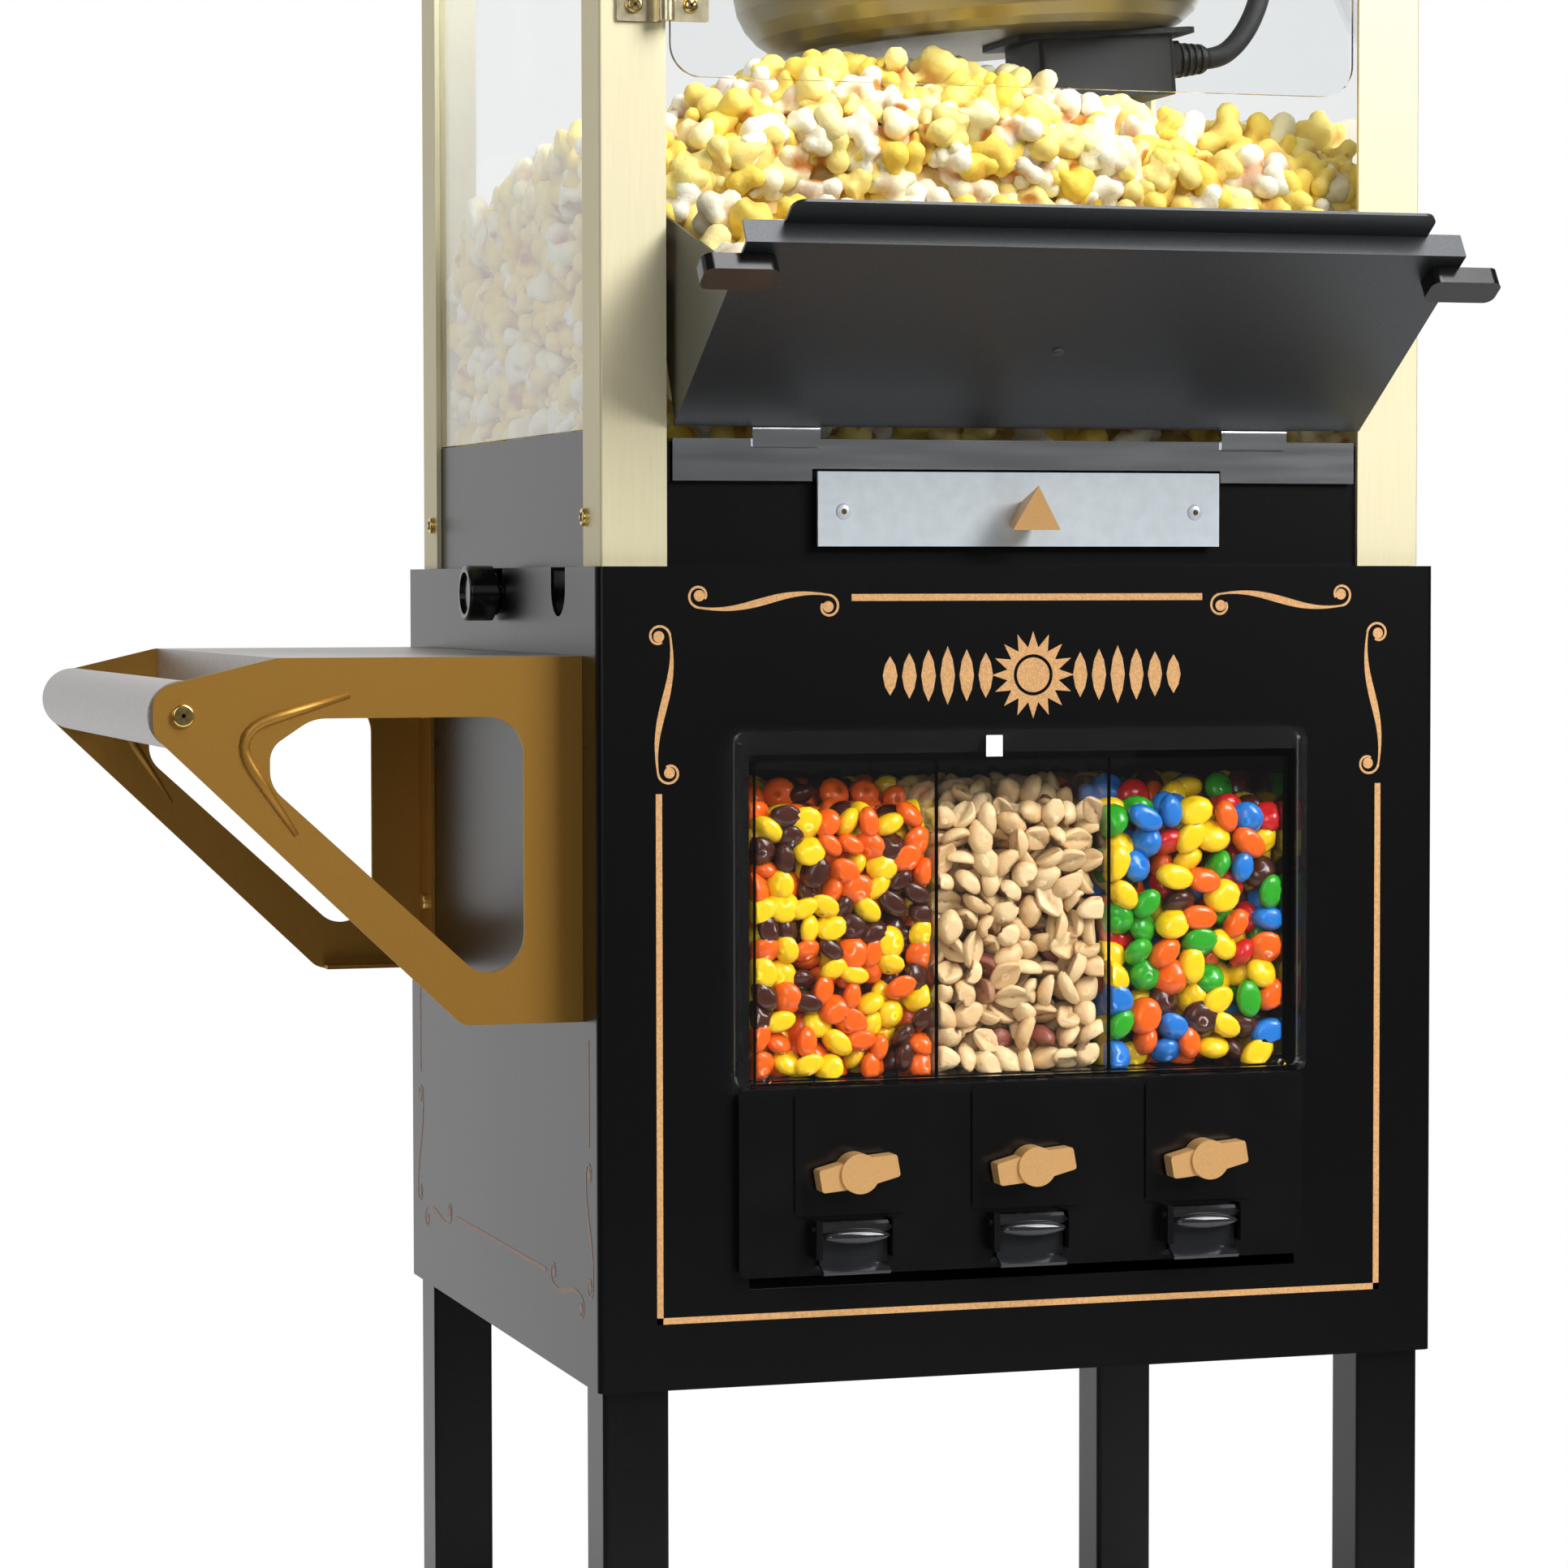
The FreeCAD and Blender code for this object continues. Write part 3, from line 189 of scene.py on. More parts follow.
def clear(name, color, rough, ior):
    """Glass or clear plastic."""
    mat, nodes, links, bsdf = shader(name)
    bsdf.inputs["Transmission Weight"].default_value = 1.0
    bsdf.inputs["IOR"].default_value = ior
    place = nodes.new("ShaderNodeTexCoord")
    noise = nodes.new("ShaderNodeTexNoise")
    noise.inputs["Scale"].default_value = 14.0
    hue = nodes.new("ShaderNodeValToRGB")
    hue.color_ramp.elements[0].color = tone(color, 0.985)
    hue.color_ramp.elements[1].color = tone(color, 1.0)
    dull = nodes.new("ShaderNodeMapRange")
    dull.inputs["To Min"].default_value = rough
    dull.inputs["To Max"].default_value = rough * 2.5
    links.new(place.outputs["Object"], noise.inputs["Vector"])
    links.new(noise.outputs["Fac"], hue.inputs[0])
    links.new(noise.outputs["Fac"], dull.inputs["Value"])
    links.new(hue.outputs[0], bsdf.inputs["Base Color"])
    links.new(dull.outputs[0], bsdf.inputs["Roughness"])
    # light for the inside passes straight through instead of casting a dark shadow
    glow = nodes.new("ShaderNodeBsdfTransparent")
    glow.inputs[0].default_value = (*[min(1.0, c * 0.99) for c in color], 1)
    ray = nodes.new("ShaderNodeLightPath")
    blend = nodes.new("ShaderNodeMixShader")
    end = nodes["Material Output"]
    links.new(ray.outputs["Is Shadow Ray"], blend.inputs[0])
    links.new(bsdf.outputs[0], blend.inputs[1])
    links.new(glow.outputs[0], blend.inputs[2])
    links.new(blend.outputs[0], end.inputs["Surface"])
    return mat


MAT = {
    "black_paint": surface("black_powder_coat", (0.0018, 0.0018, 0.0019), rough=(0.26, 0.285), scale=9,
                           bump=0.06, bump_scale=2200, specular=0.34),
    "hatch_paint": surface("hatch_metallic_black", (0.075, 0.078, 0.082), metallic=0.9,
                           rough=(0.32, 0.36), scale=1500, spread=0.12, bump=0.05, bump_scale=2400),
    "gold_paint": surface("gold_bronze_paint", (0.42, 0.215, 0.036), metallic=0.7, rough=(0.38, 0.46),
                          scale=2600, spread=0.10, bump=0.06, bump_scale=2600),
    "grey_paint": surface("silver_taupe_paint", (0.47, 0.44, 0.42), metallic=0.6, rough=(0.3, 0.4),
                          scale=400, spread=0.1, bump=0.08, bump_scale=1800),
    "champagne": surface("champagne_anodised", (0.82, 0.745, 0.50), metallic=0.6, rough=(0.50, 0.54),
                         scale=160, spread=0.02, stretch=(6, 6, 0.3), bump=0.03, bump_scale=300),
    "rubber_black": surface("foot_rubber", (0.02, 0.02, 0.02), rough=(0.7, 0.85), scale=120, bump=0.2),
    "tyre_black": surface("tyre_rubber", (0.018, 0.018, 0.018), rough=(0.65, 0.8), scale=90, bump=0.25),
    "wheel_black": surface("wheel_enamel", (0.30, 0.16, 0.045), metallic=0.6, rough=(0.32, 0.45),
                           scale=90, bump=0.08),
    "zinc_steel": surface("galvanised_steel", (0.62, 0.68, 0.72), metallic=0.4, rough=(0.40, 0.52),
                          scale=170, spread=0.05, bump=0.04, bump_scale=300),
    "polished": surface("polished_steel", (0.70, 0.72, 0.75), metallic=1.0, rough=(0.16, 0.26),
                        scale=60, spread=0.04, stretch=(0.3, 3, 4), bump=0.01, bump_scale=200),
    "brass": surface("bright_brass", (0.85, 0.62, 0.22), metallic=1.0, rough=(0.16, 0.3), scale=400,
                     bump=0.05),
    "hinge_brass": surface("champagne_hinge", (0.68, 0.60, 0.40), metallic=0.9, rough=(0.25, 0.35),
                           scale=300, bump=0.05),
    "knob_black": surface("gloss_knob", (0.006, 0.006, 0.006), rough=(0.1, 0.18), scale=80, bump=0.03),
    "knob_gold": surface("gold_knob_paint", (0.78, 0.44, 0.17), metallic=0.35, rough=(0.32, 0.42),
                         scale=2400, spread=0.09, bump=0.05, bump_scale=2600),
    "housing_black": surface("moulded_black", (0.004, 0.004, 0.0045), rough=(0.16, 0.24), scale=50,
                             bump=0.03, bump_scale=1200),
    "flap_smoke": surface("smoked_plastic", (0.02, 0.021, 0.024), rough=(0.08, 0.16), scale=60,
                          coat=0.4, bump=0.02),
    "wheel_plastic": surface("portion_wheel_plastic", (0.7, 0.7, 0.66), rough=(0.4, 0.55), scale=90,
                             bump=0.05),
    "clear_plastic": clear("clear_moulding", (0.985, 0.99, 0.995), 0.004, 1.38),
    "glass": clear("tempered_glass", (0.985, 0.998, 1.0), 0.0, 1.42),
    "kettle_metal": surface("kettle_champagne", (0.30, 0.265, 0.18), metallic=0.9, rough=(0.28, 0.4),
                            scale=1800, spread=0.06, bump=0.05, bump_scale=1800),
    "heat_plastic": surface("heatproof_plastic", (0.012, 0.012, 0.013), rough=(0.4, 0.55), scale=150,
                            bump=0.12, bump_scale=2500),
    "cord_black": surface("cord_rubber", (0.017, 0.017, 0.018), rough=(0.5, 0.65), scale=200, bump=0.1),
    "lamp_lens": surface("frosted_lens", (0.9, 0.87, 0.78), rough=(0.5, 0.6), scale=60, bump=0.05),
    "tan_paint": surface("tan_gold_ink", (0.73, 0.40, 0.16), metallic=0.15, rough=(0.45, 0.6),
                         scale=1500, spread=0.22, bump=0.12, bump_scale=2600),
    "side_ink": surface("rose_gold_ink", (0.42, 0.29, 0.23), metallic=0.3, rough=(0.5, 0.6), scale=1500,
                        spread=0.15, bump=0.1, bump_scale=2600),
    "white_label": surface("white_tab", (0.85, 0.85, 0.85), rough=(0.4, 0.5), scale=200, bump=0.03),
}

slots = {row["node"]: row["material_slot"] for row in frame["record"]["subparts"]}
for name, obj in NODES.items():
    obj.data.materials.clear()
    obj.data.materials.append(MAT[slots[name]])
NODES["hatch_panel"].data.materials[0] = MAT["hatch_paint"]


# ---- mesh helpers ----
def add(name, mesh, mat, body):
    """A new piece that rides on a body."""
    obj = bpy.data.objects.new(name, mesh)
    bpy.context.collection.objects.link(obj)
    if not mesh.materials:
        mesh.materials.append(mat)
    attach(obj, body)
    return obj


def mesh_of(name, verts, faces, smooth=False):
    mesh = bpy.data.meshes.new(name)
    mesh.from_pydata([tuple(v) for v in verts], [], faces)
    mesh.update()
    if smooth:
        mesh.polygons.foreach_set("use_smooth", [True] * len(mesh.polygons))
    return mesh


def from_bmesh(name, bm, smooth=True):
    bmesh.ops.recalc_face_normals(bm, faces=bm.faces)
    mesh = bpy.data.meshes.new(name)
    bm.to_mesh(mesh)
    bm.free()
    if smooth:
        mesh.polygons.foreach_set("use_smooth", [True] * len(mesh.polygons))
    return mesh


# ---- flat shapes on a face ----
def front(x, z, lift):
    """A point on the cabinet's front face, with lift millimetres towards the viewer."""
    return at(x, -lift, z)


def left(y, z, lift):
    """The same on the cabinet's left face."""
    return at(-lift, y, z)


INK = 0.12
INK_BACK = -0.02


def slab(outline, place, lift=INK):
    """Verts and faces of a thin flat plate with this outline on a face."""
    n = len(outline)
    verts = [place(a, b, lift) for a, b in outline] + [place(a, b, INK_BACK) for a, b in outline]
    faces = [list(range(n)), list(range(2 * n - 1, n - 1, -1))]
    faces += [[i, i + n, (i + 1) % n + n, (i + 1) % n] for i in range(n)]
    return verts, faces


def ribbon(points, widths, place, lift=INK):
    """A flat painted stroke along points, with a width at each."""
    pts = [Vector((a, b)) for a, b in points]
    verts, faces = [], []
    n = len(pts)
    for i, p in enumerate(pts):
        d = (pts[min(i + 1, n - 1)] - pts[max(i - 1, 0)]).normalized()
        side = Vector((-d.y, d.x)) * widths[i] / 2
        for q, h in ((p + side, lift), (p - side, lift), (p - side, INK_BACK), (p + side, INK_BACK)):
            verts.append(place(q.x, q.y, h))
    for i in range(n - 1):
        a, b = 4 * i, 4 * i + 4
        faces += [[a + k, a + (k + 1) % 4, b + (k + 1) % 4, b + k] for k in range(4)]
    faces += [[3, 2, 1, 0], [4 * n - 4, 4 * n - 3, 4 * n - 2, 4 * n - 1]]
    return verts, faces


def join(chunks):
    verts, faces = [], []
    for v, f in chunks:
        base = len(verts)
        verts += v
        faces += [[i + base for i in face] for face in f]
    return verts, faces


def disc(cx, cz, r, place, count=20):
    return slab([(cx + r * math.cos(2 * math.pi * i / count), cz + r * math.sin(2 * math.pi * i / count))
                 for i in range(count)], place)


def curl(cx, cz, r0, r1, a0, turns, steps=30):
    """Points of a spiral from radius r0 at angle a0 to radius r1."""
    pts = []
    for i in range(steps + 1):
        t = i / steps
        a = a0 + turns * 2 * math.pi * t
        r = r0 + (r1 - r0) * t
        pts.append((cx + r * math.cos(a), cz + r * math.sin(a)))
    return pts


def bezier(p0, p1, p2, p3, steps=24):
    pts = []
    for i in range(steps + 1):
        t = i / steps
        k = 1 - t
        pts.append(tuple(k ** 3 * a + 3 * k * k * t * b + 3 * k * t * t * c + t ** 3 * d
                         for a, b, c, d in zip(p0, p1, p2, p3)))
    return pts


def scroll(ball_a, ball_b, thick, place, flip, thin=0.7, ball=2.1, loop=4.4):
    """An S scroll: a dot with a spiral arm at each end and a swelling stroke between them."""
    a, b = Vector(ball_a), Vector(ball_b)
    d = (b - a).normalized()
    n = Vector((-d.y, d.x)) * flip
    length = (b - a).length
    start, end = a + n * loop, b - n * loop
    body = bezier(start, start + d * length * 0.42 + n * 1.5, end - d * length * 0.42 - n * 1.5, end)
    swell = [math.sin(math.pi * i / (len(body) - 1)) ** 1.5 for i in range(len(body))]
    widths = [thin + (thick - thin) * k for k in swell]
    chunks = [ribbon(body, widths, place), disc(*a, ball, place), disc(*b, ball, place)]
    for centre, sign in ((a, 1.0), (b, -1.0)):
        angle = math.atan2(n.y * sign, n.x * sign)
        arm = curl(centre.x, centre.y, loop, ball + 0.3, angle, 0.82 * flip)
        chunks.append(ribbon(arm, [0.9] * len(arm), place))
    return join(chunks)


def bar(x0, x1, z0, z1, place):
    return slab([(x0, z0), (x1, z0), (x1, z1), (x0, z1)], place)


# ---- painted ornaments ----
MID = 168.0


def mirrored(chunk_of):
    """The same front ornament on the left and, mirrored about the middle, on the right."""
    def flipped(x, z, lift):
        return front(2 * MID - x, z, lift)
    return [chunk_of(front), chunk_of(flipped)]


def front_ornaments():
    chunks = [bar(98.4, 239.2, -12.9, -10.3, front)]
    chunks += mirrored(lambda place: scroll((39.2, -10.8), (89.2, -15.0), 2.8, place, -1.0))
    chunks += mirrored(lambda place: scroll((23.6, -25.9), (27.6, -76.2), 2.8, place, 1.0))
    chunks += mirrored(lambda place: bar(22.3, 24.7, -281.2, -84.0, place))
    chunks.append(bar(22.3, 2 * MID - 22.3, -281.2, -278.8, front))
    verts, faces = join(chunks)
    add("front_ornaments", mesh_of("front_ornaments", verts, faces), MAT["tan_paint"], "cart")


def side_ornaments():
    y0, y1, low = 14.0, 300.0, -281.0
    chunks = [scroll((26.0, low + 3), (68.0, low + 11), 2.2, left, 1.0),
              scroll((288.0, low + 3), (246.0, low + 11), 2.2, left, -1.0),
              bar(80.0, 234.0, low + 9.5, low + 11.0, left)]
    for y, flip in ((y0, 1.0), (y1, -1.0)):
        chunks.append(bar(y - 0.8, y + 0.8, -216.0, -176.0, left))
        chunks.append(scroll((y, -226.0), (y - 1.5 * flip, -268.0), 2.2, left, flip))
    verts, faces = join(chunks)
    add("side_ornaments", mesh_of("side_ornaments", verts, faces), MAT["side_ink"], "cart")


def name_panel():
    """A plain sun with a row of petals on each side, where a painted title would be."""
    cx, cz = 170.5, -41.0
    chunks = []
    for sign in (-1.0, 1.0):
        for i in range(6):
            x = cx + sign * (19.0 + 7.6 * i)
            h = 11.0 - 1.2 * abs(i - 2.0)
            upper = [(x - 2.9, cz), (x - 2.0, cz + h * 0.55), (x, cz + h), (x + 2.0, cz + h * 0.55)]
            lower = [(x + 2.9, cz), (x + 2.0, cz - h * 0.55), (x, cz - h), (x - 2.0, cz - h * 0.55)]
            petal = upper + lower
            chunks.append(slab(petal, front))
    count = 16
    star = []
    for i in range(2 * count):
        r = 16.5 if i % 2 == 0 else 10.5
        star.append((cx + r * math.sin(math.pi * i / count), cz + r * math.cos(math.pi * i / count)))
    chunks.append(slab(star, front))
    verts, faces = join(chunks)
    add("title_ornament", mesh_of("title_ornament", verts, faces), MAT["tan_paint"], "cart")
    inset = curl(cx, cz, 7.2, 7.2, 0, 1.0, 32)
    verts, faces = ribbon(inset, [1.2] * len(inset), front, 0.2)
    add("title_ring", mesh_of("title_ring", verts, faces), MAT["black_paint"], "cart")


front_ornaments()
side_ornaments()
name_panel()


# ---- small details ----
def dome(name, place_at, axis, r, height, mat, body, squash=1.0):
    """A low button head on a face."""
    bm = bmesh.new()
    bmesh.ops.create_uvsphere(bm, u_segments=20, v_segments=10, radius=1.0)
    flat = Matrix.Diagonal((r, r * squash, height, 1.0))
    spin = Vector(axis).to_track_quat("Z", "Y").to_matrix().to_4x4()
    bmesh.ops.transform(bm, matrix=Matrix.Translation(place_at) @ spin @ flat, verts=bm.verts)
    return add(name, from_bmesh(name, bm), mat, body)


def round_tube(points, radius, sides, up, end_share=1.0):
    """Verts and faces of a closed round tube; its end rings are end_share of the radius."""
    verts, faces = [], []
    n = len(points)
    for i, p in enumerate(points):
        d = (points[min(i + 1, n - 1)] - points[max(i - 1, 0)]).normalized()
        a = d.cross(up).normalized()
        b = d.cross(a)
        size = radius * (end_share if i in (0, n - 1) else 1.0)
        for k in range(sides):
            t = 2 * math.pi * k / sides
            verts.append(p + (a * math.cos(t) + b * math.sin(t)) * size)
    for i in range(n - 1):
        for k in range(sides):
            m = (k + 1) % sides
            faces.append((i * sides + k, i * sides + m, (i + 1) * sides + m, (i + 1) * sides + k))
    faces += [tuple(range(sides - 1, -1, -1)), tuple((n - 1) * sides + k for k in range(sides))]
    return verts, faces


def rounded_path(corners, reach, steps=8):
    """Straight runs through the corners, each corner eased over the given reach."""
    pts = [Vector(corners[0])]
    for a, b, c in zip(corners, corners[1:], corners[2:]):
        a, b, c = Vector(a), Vector(b), Vector(c)
        p, q = b + (a - b).normalized() * reach, b + (c - b).normalized() * reach
        for i in range(steps + 1):
            t = i / steps
            pts.append(p * (1 - t) ** 2 + b * 2 * t * (1 - t) + q * t * t)
    return pts + [Vector(corners[-1])]


def bracket_beads():
    """The pressed rib round the inner corner of each handle bracket."""
    for name, y, side in (("bead_front", 21.0, -1.0), ("bead_rear", 294.0, 1.0)):
        corners = [(-88.0, y, -47.0), (-133.0, y, -60.0), (-108.0, y, -98.0)]
        path = rounded_path(corners, 17.0)
        pts = [at(p.x, p.y - side * 0.5, p.z) for p in path]
        verts, faces = round_tube(pts, 2.2 * MM, 10, Vector((0.13, 0.21, 0.97)), 0.55)
        add(name, mesh_of(name, verts, faces, True), MAT["gold_paint"], "cart")


def screw_recess_shade(name, middle, axis, r, body):
    """The driver recess of a cross-head screw, as two thin dark bars on its head: painted shade in place of
    a cut recess.
    """
    out = Vector(axis).normalized()
    a = out.orthogonal().normalized()
    b = out.cross(a)
    verts, faces = [], []
    for along, across in ((a, b), (b, a)):
        base = len(verts)
        for h in (-0.2, 0.12):
            for i, j in ((-1, -1), (1, -1), (1, 1), (-1, 1)):
                verts.append(Vector(middle) + (along * i * r * 0.62 + across * j * r * 0.15 + out * h) * MM)
        faces += [[base + k for k in f] for f in ((3, 2, 1, 0), (4, 5, 6, 7), (0, 1, 5, 4), (1, 2, 6, 5),
                                                  (2, 3, 7, 6), (3, 0, 4, 7))]
    return add(name, mesh_of(name, verts, faces), MAT["recess"], body)


HATCH_LEAN = math.radians(57.4)
HATCH_PIN = (5.0, 51.0)


def on_hatch(u, v):
    """y and z of a spot in the open hatch: u along the panel from its hinge, v inward from it."""
    return (HATCH_PIN[0] - u * math.sin(HATCH_LEAN) + v * math.cos(HATCH_LEAN),
            HATCH_PIN[1] + u * math.cos(HATCH_LEAN) + v * math.sin(HATCH_LEAN))


# The dark colour of the screw crosses and rivet holes is painted shade standing in for the depth of the
# recesses.
MAT["recess"] = surface("driver_recess_painted_shade", (0.10, 0.065, 0.02), metallic=0.5, rough=(0.5, 0.6), scale=300)
bracket_beads()
for rivet_name, rivet_x in (("rivet_left", 96.0), ("rivet_right", 237.0)):
    dome(rivet_name, at(rivet_x, 2.3, 20.5), (0, -1, 0), 3.1 * MM, 1.1 * MM, MAT["zinc_steel"], "drawer")
    # a small dark dot on each rivet: painted shade of its hole
    dome(rivet_name + "_hole_painted_shade", at(rivet_x, 1.3, 20.5), (0, -1, 0), 1.1 * MM, 0.25 * MM, MAT["recess"],
         "drawer")
dome("hatch_dimple", at(166.0, *on_hatch(52.0, -0.2)), (0, -math.cos(HATCH_LEAN), -math.sin(HATCH_LEAN)),
     2.3 * MM, 0.5 * MM, MAT["hatch_paint"], "hatch")
tab_verts, tab_faces = slab([(150.0, -71.5), (156.5, -71.5), (156.5, -63.5), (150.0, -63.5)],
                            lambda x, z, lift: at(x, -4.2 - lift, z), 0.3)
add("white_tab", mesh_of("white_tab", tab_verts, tab_faces), MAT["white_label"], "cover")

for post_z in (18.5, 410.0):
    for post_y in (26.4, 283.2):
        screw_recess_shade("post_cross_%d_%d" % (post_z, post_y), at(1.0, post_y, post_z), (-1, 0, 0), 3.4, "cart")
screw_recess_shade("grip_cross_front", at(-149.6, 19.0, -53.9), (0, -1, 0), 4.2, "cart")
screw_recess_shade("grip_cross_rear", at(-149.6, 296.0, -53.9), (0, 1, 0), 4.2, "cart")
for hinge_z in (206.0, 228.0, 401.0, 423.0):
    screw_recess_shade("hinge_cross_%d" % hinge_z, at(16.0, 2.0, hinge_z), (0, -1, 0), 3.0, "cart")
    dome("leaf_screw_%d" % hinge_z, at(36.5, 0.3, hinge_z), (0, -1, 0), 3.0 * MM, 1.6 * MM, MAT["brass"],
         "door")
    screw_recess_shade("leaf_cross_%d" % hinge_z, at(36.5, -1.3, hinge_z), (0, -1, 0), 3.0, "door")
for side_name, flap_x in (("left", 96.8), ("centre", 166.9), ("right", 237.0)):
    dome("flap_lip_" + side_name, at(flap_x, -11.0, -250.0), (0, -1, 0), 13.0 * MM, 2.2 * MM,
         MAT["flap_smoke"], "flap_" + side_name, 0.2)


KETTLE_PIN = (186.0, 265.0)
KETTLE_LEAN = math.radians(4.5)


def hung(x, y, z):
    """A spot on the kettle, which hangs out of level about its pin."""
    dx, dz = x - KETTLE_PIN[0], z - KETTLE_PIN[1]
    c, s = math.cos(KETTLE_LEAN), math.sin(KETTLE_LEAN)
    return at(KETTLE_PIN[0] + dx * c - dz * s, y, KETTLE_PIN[1] + dx * s + dz * c)


def relief_ribs():
    """Moulded rings round the plug's strain relief."""
    bm = bmesh.new()
    plug_y, plug_z, first, pitch = 105.0, 198.0, 263.5, 2.9
    way = (hung(277.0, plug_y, plug_z) - hung(261.5, plug_y, plug_z)).normalized()
    spin = way.to_track_quat("Z", "Y").to_matrix().to_4x4()
    for i in range(5):
        x = first + pitch * i
        r = (7.5 - 0.33 * i) * MM
        bmesh.ops.create_cone(bm, cap_ends=True, segments=28, radius1=r, radius2=r * 0.96, depth=1.5 * MM,
                              matrix=Matrix.Translation(hung(x, plug_y, plug_z)) @ spin)
    return add("relief_ribs", from_bmesh("relief_ribs", bm, False), MAT["heat_plastic"], "kettle")


CORD = [(281.98, 105.0, 205.35), (288.46, 105.0, 205.86), (296.0, 105.0, 211.5), (303.0, 106.0, 221.0),
        (308.5, 108.0, 234.0), (312.0, 112.0, 253.0), (314.0, 118.0, 280.0), (313.5, 126.0, 314.0),
        (310.0, 135.0, 353.0), (305.5, 143.0, 395.0), (302.5, 148.0, 430.0), (302.0, 150.0, 460.0)]
CORD_R = 4.25


def spline_line(route):
    """Points along the NURBS spline that has the route's points as its control points."""
    data = bpy.data.curves.new("route", "CURVE")
    data.dimensions = "3D"
    data.resolution_u = 11
    spline = data.splines.new("NURBS")
    spline.points.add(len(route) - 1)
    for point, spot in zip(spline.points, route):
        point.co = (*spot, 1.0)
    spline.order_u = 3
    spline.use_endpoint_u = True
    obj = bpy.data.objects.new("route", data)
    mesh = bpy.data.meshes.new_from_object(obj)
    line = [v.co.copy() for v in mesh.vertices]
    bpy.data.objects.remove(obj)
    bpy.data.curves.remove(data)
    bpy.data.meshes.remove(mesh)
    return line


def kettle_lead():
    line = spline_line([at(*p) for p in reversed(CORD)])[::2]
    verts, faces = round_tube(line, CORD_R * MM, 18, Vector((0, 1, 0)))
    obj = bpy.data.objects.new("kettle_lead", mesh_of("kettle_lead", verts, faces, True))
    bpy.context.collection.objects.link(obj)
    obj.data.materials.append(MAT["cord_black"])
    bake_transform(obj)
    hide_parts("kettle_cord")
    relief_ribs()


kettle_lead()


# ---- popcorn, candy and nuts ----
def attribute_material(name, rough, coat, bump, ramp_stops, sss=0.0, bump_scale=600.0):
    """Colour from each piece's own tint value, later darkened by its painted crease shade value in
    finish_color; roughness and bump are broken up by noise.
    """
    mat, nodes, links, bsdf = shader(name)
    bsdf.inputs["Coat Weight"].default_value = coat
    bsdf.inputs["Coat Roughness"].default_value = 0.08
    bsdf.inputs["Subsurface Weight"].default_value = sss
    bsdf.inputs["Subsurface Scale"].default_value = 0.003
    tint = nodes.new("ShaderNodeAttribute")
    tint.attribute_name = "tint"
    hue = nodes.new("ShaderNodeValToRGB")
    hue.color_ramp.interpolation = "LINEAR" if sss else "CONSTANT"
    marks = hue.color_ramp.elements
    while len(marks) < len(ramp_stops):
        marks.new(0.5)
    for mark, (place, color) in zip(marks, ramp_stops):
        mark.position = place
        mark.color = (*color, 1)
    place = nodes.new("ShaderNodeTexCoord")
    noise = nodes.new("ShaderNodeTexNoise")
    noise.inputs["Scale"].default_value = 160.0
    dull = nodes.new("ShaderNodeMapRange")
    dull.inputs["To Min"].default_value = rough[0]
    dull.inputs["To Max"].default_value = rough[1]
    grain = nodes.new("ShaderNodeTexNoise")
    grain.inputs["Scale"].default_value = bump_scale
    lift = nodes.new("ShaderNodeBump")
    lift.inputs["Strength"].default_value = bump
    lift.inputs["Distance"].default_value = 0.001
    links.new(tint.outputs["Fac"], hue.inputs[0])
    links.new(place.outputs["Object"], noise.inputs["Vector"])
    links.new(noise.outputs["Fac"], dull.inputs["Value"])
    links.new(dull.outputs[0], bsdf.inputs["Roughness"])
    links.new(place.outputs["Object"], grain.inputs["Vector"])
    links.new(grain.outputs["Fac"], lift.inputs["Height"])
    links.new(lift.outputs[0], bsdf.inputs["Normal"])
    return mat, nodes, links, bsdf, hue


def finish_color(mat_parts, shade_and_tone_color, amount):
    """Painted shade in folds and grooves, together with darker real tones such as the popcorn's hull: mixes
    the given dark colour in by each vertex's shade-and-tone value.
    """
    mat, nodes, links, bsdf, hue = mat_parts
    crease_shade_and_tone = nodes.new("ShaderNodeAttribute")
    crease_shade_and_tone.attribute_name = "crease_shade_and_tone"
    strength = nodes.new("ShaderNodeMath")
    strength.operation = "MULTIPLY"
    strength.inputs[1].default_value = amount
    blend = nodes.new("ShaderNodeMix")
    blend.data_type = "RGBA"
    blend.inputs["B"].default_value = (*shade_and_tone_color, 1)
    links.new(crease_shade_and_tone.outputs["Fac"], strength.inputs[0])
    links.new(strength.outputs[0], blend.inputs["Factor"])
    links.new(hue.outputs[0], blend.inputs["A"])
    links.new(blend.outputs["Result"], bsdf.inputs["Base Color"])
    return mat


# For popcorn the dark brown mixed in is partly painted shade in the folds and partly the kernels' own brown
# hull.
MAT["popcorn"] = finish_color(attribute_material("popcorn_flake", (0.5, 0.7), 0.0, 0.3, [
    (0.0, (0.92, 0.88, 0.76)), (0.28, (0.92, 0.86, 0.62)), (0.45, (0.92, 0.77, 0.27)),
    (1.0, (0.91, 0.66, 0.07))], sss=0.15), (0.50, 0.17, 0.012), 1.0)
RED, ORANGE, YELLOW = (0.55, 0.012, 0.01), (0.83, 0.115, 0.004), (0.90, 0.56, 0.005)
GREEN, BLUE, BROWN = (0.025, 0.33, 0.015), (0.015, 0.17, 0.55), (0.055, 0.012, 0.006)
MAT["candy_warm"] = finish_color(attribute_material("candy_shell_warm", (0.16, 0.28), 0.5, 0.05, [
    (0.0, ORANGE), (0.45, YELLOW), (0.76, BROWN)]), (0.02, 0.01, 0.0), 0.0)
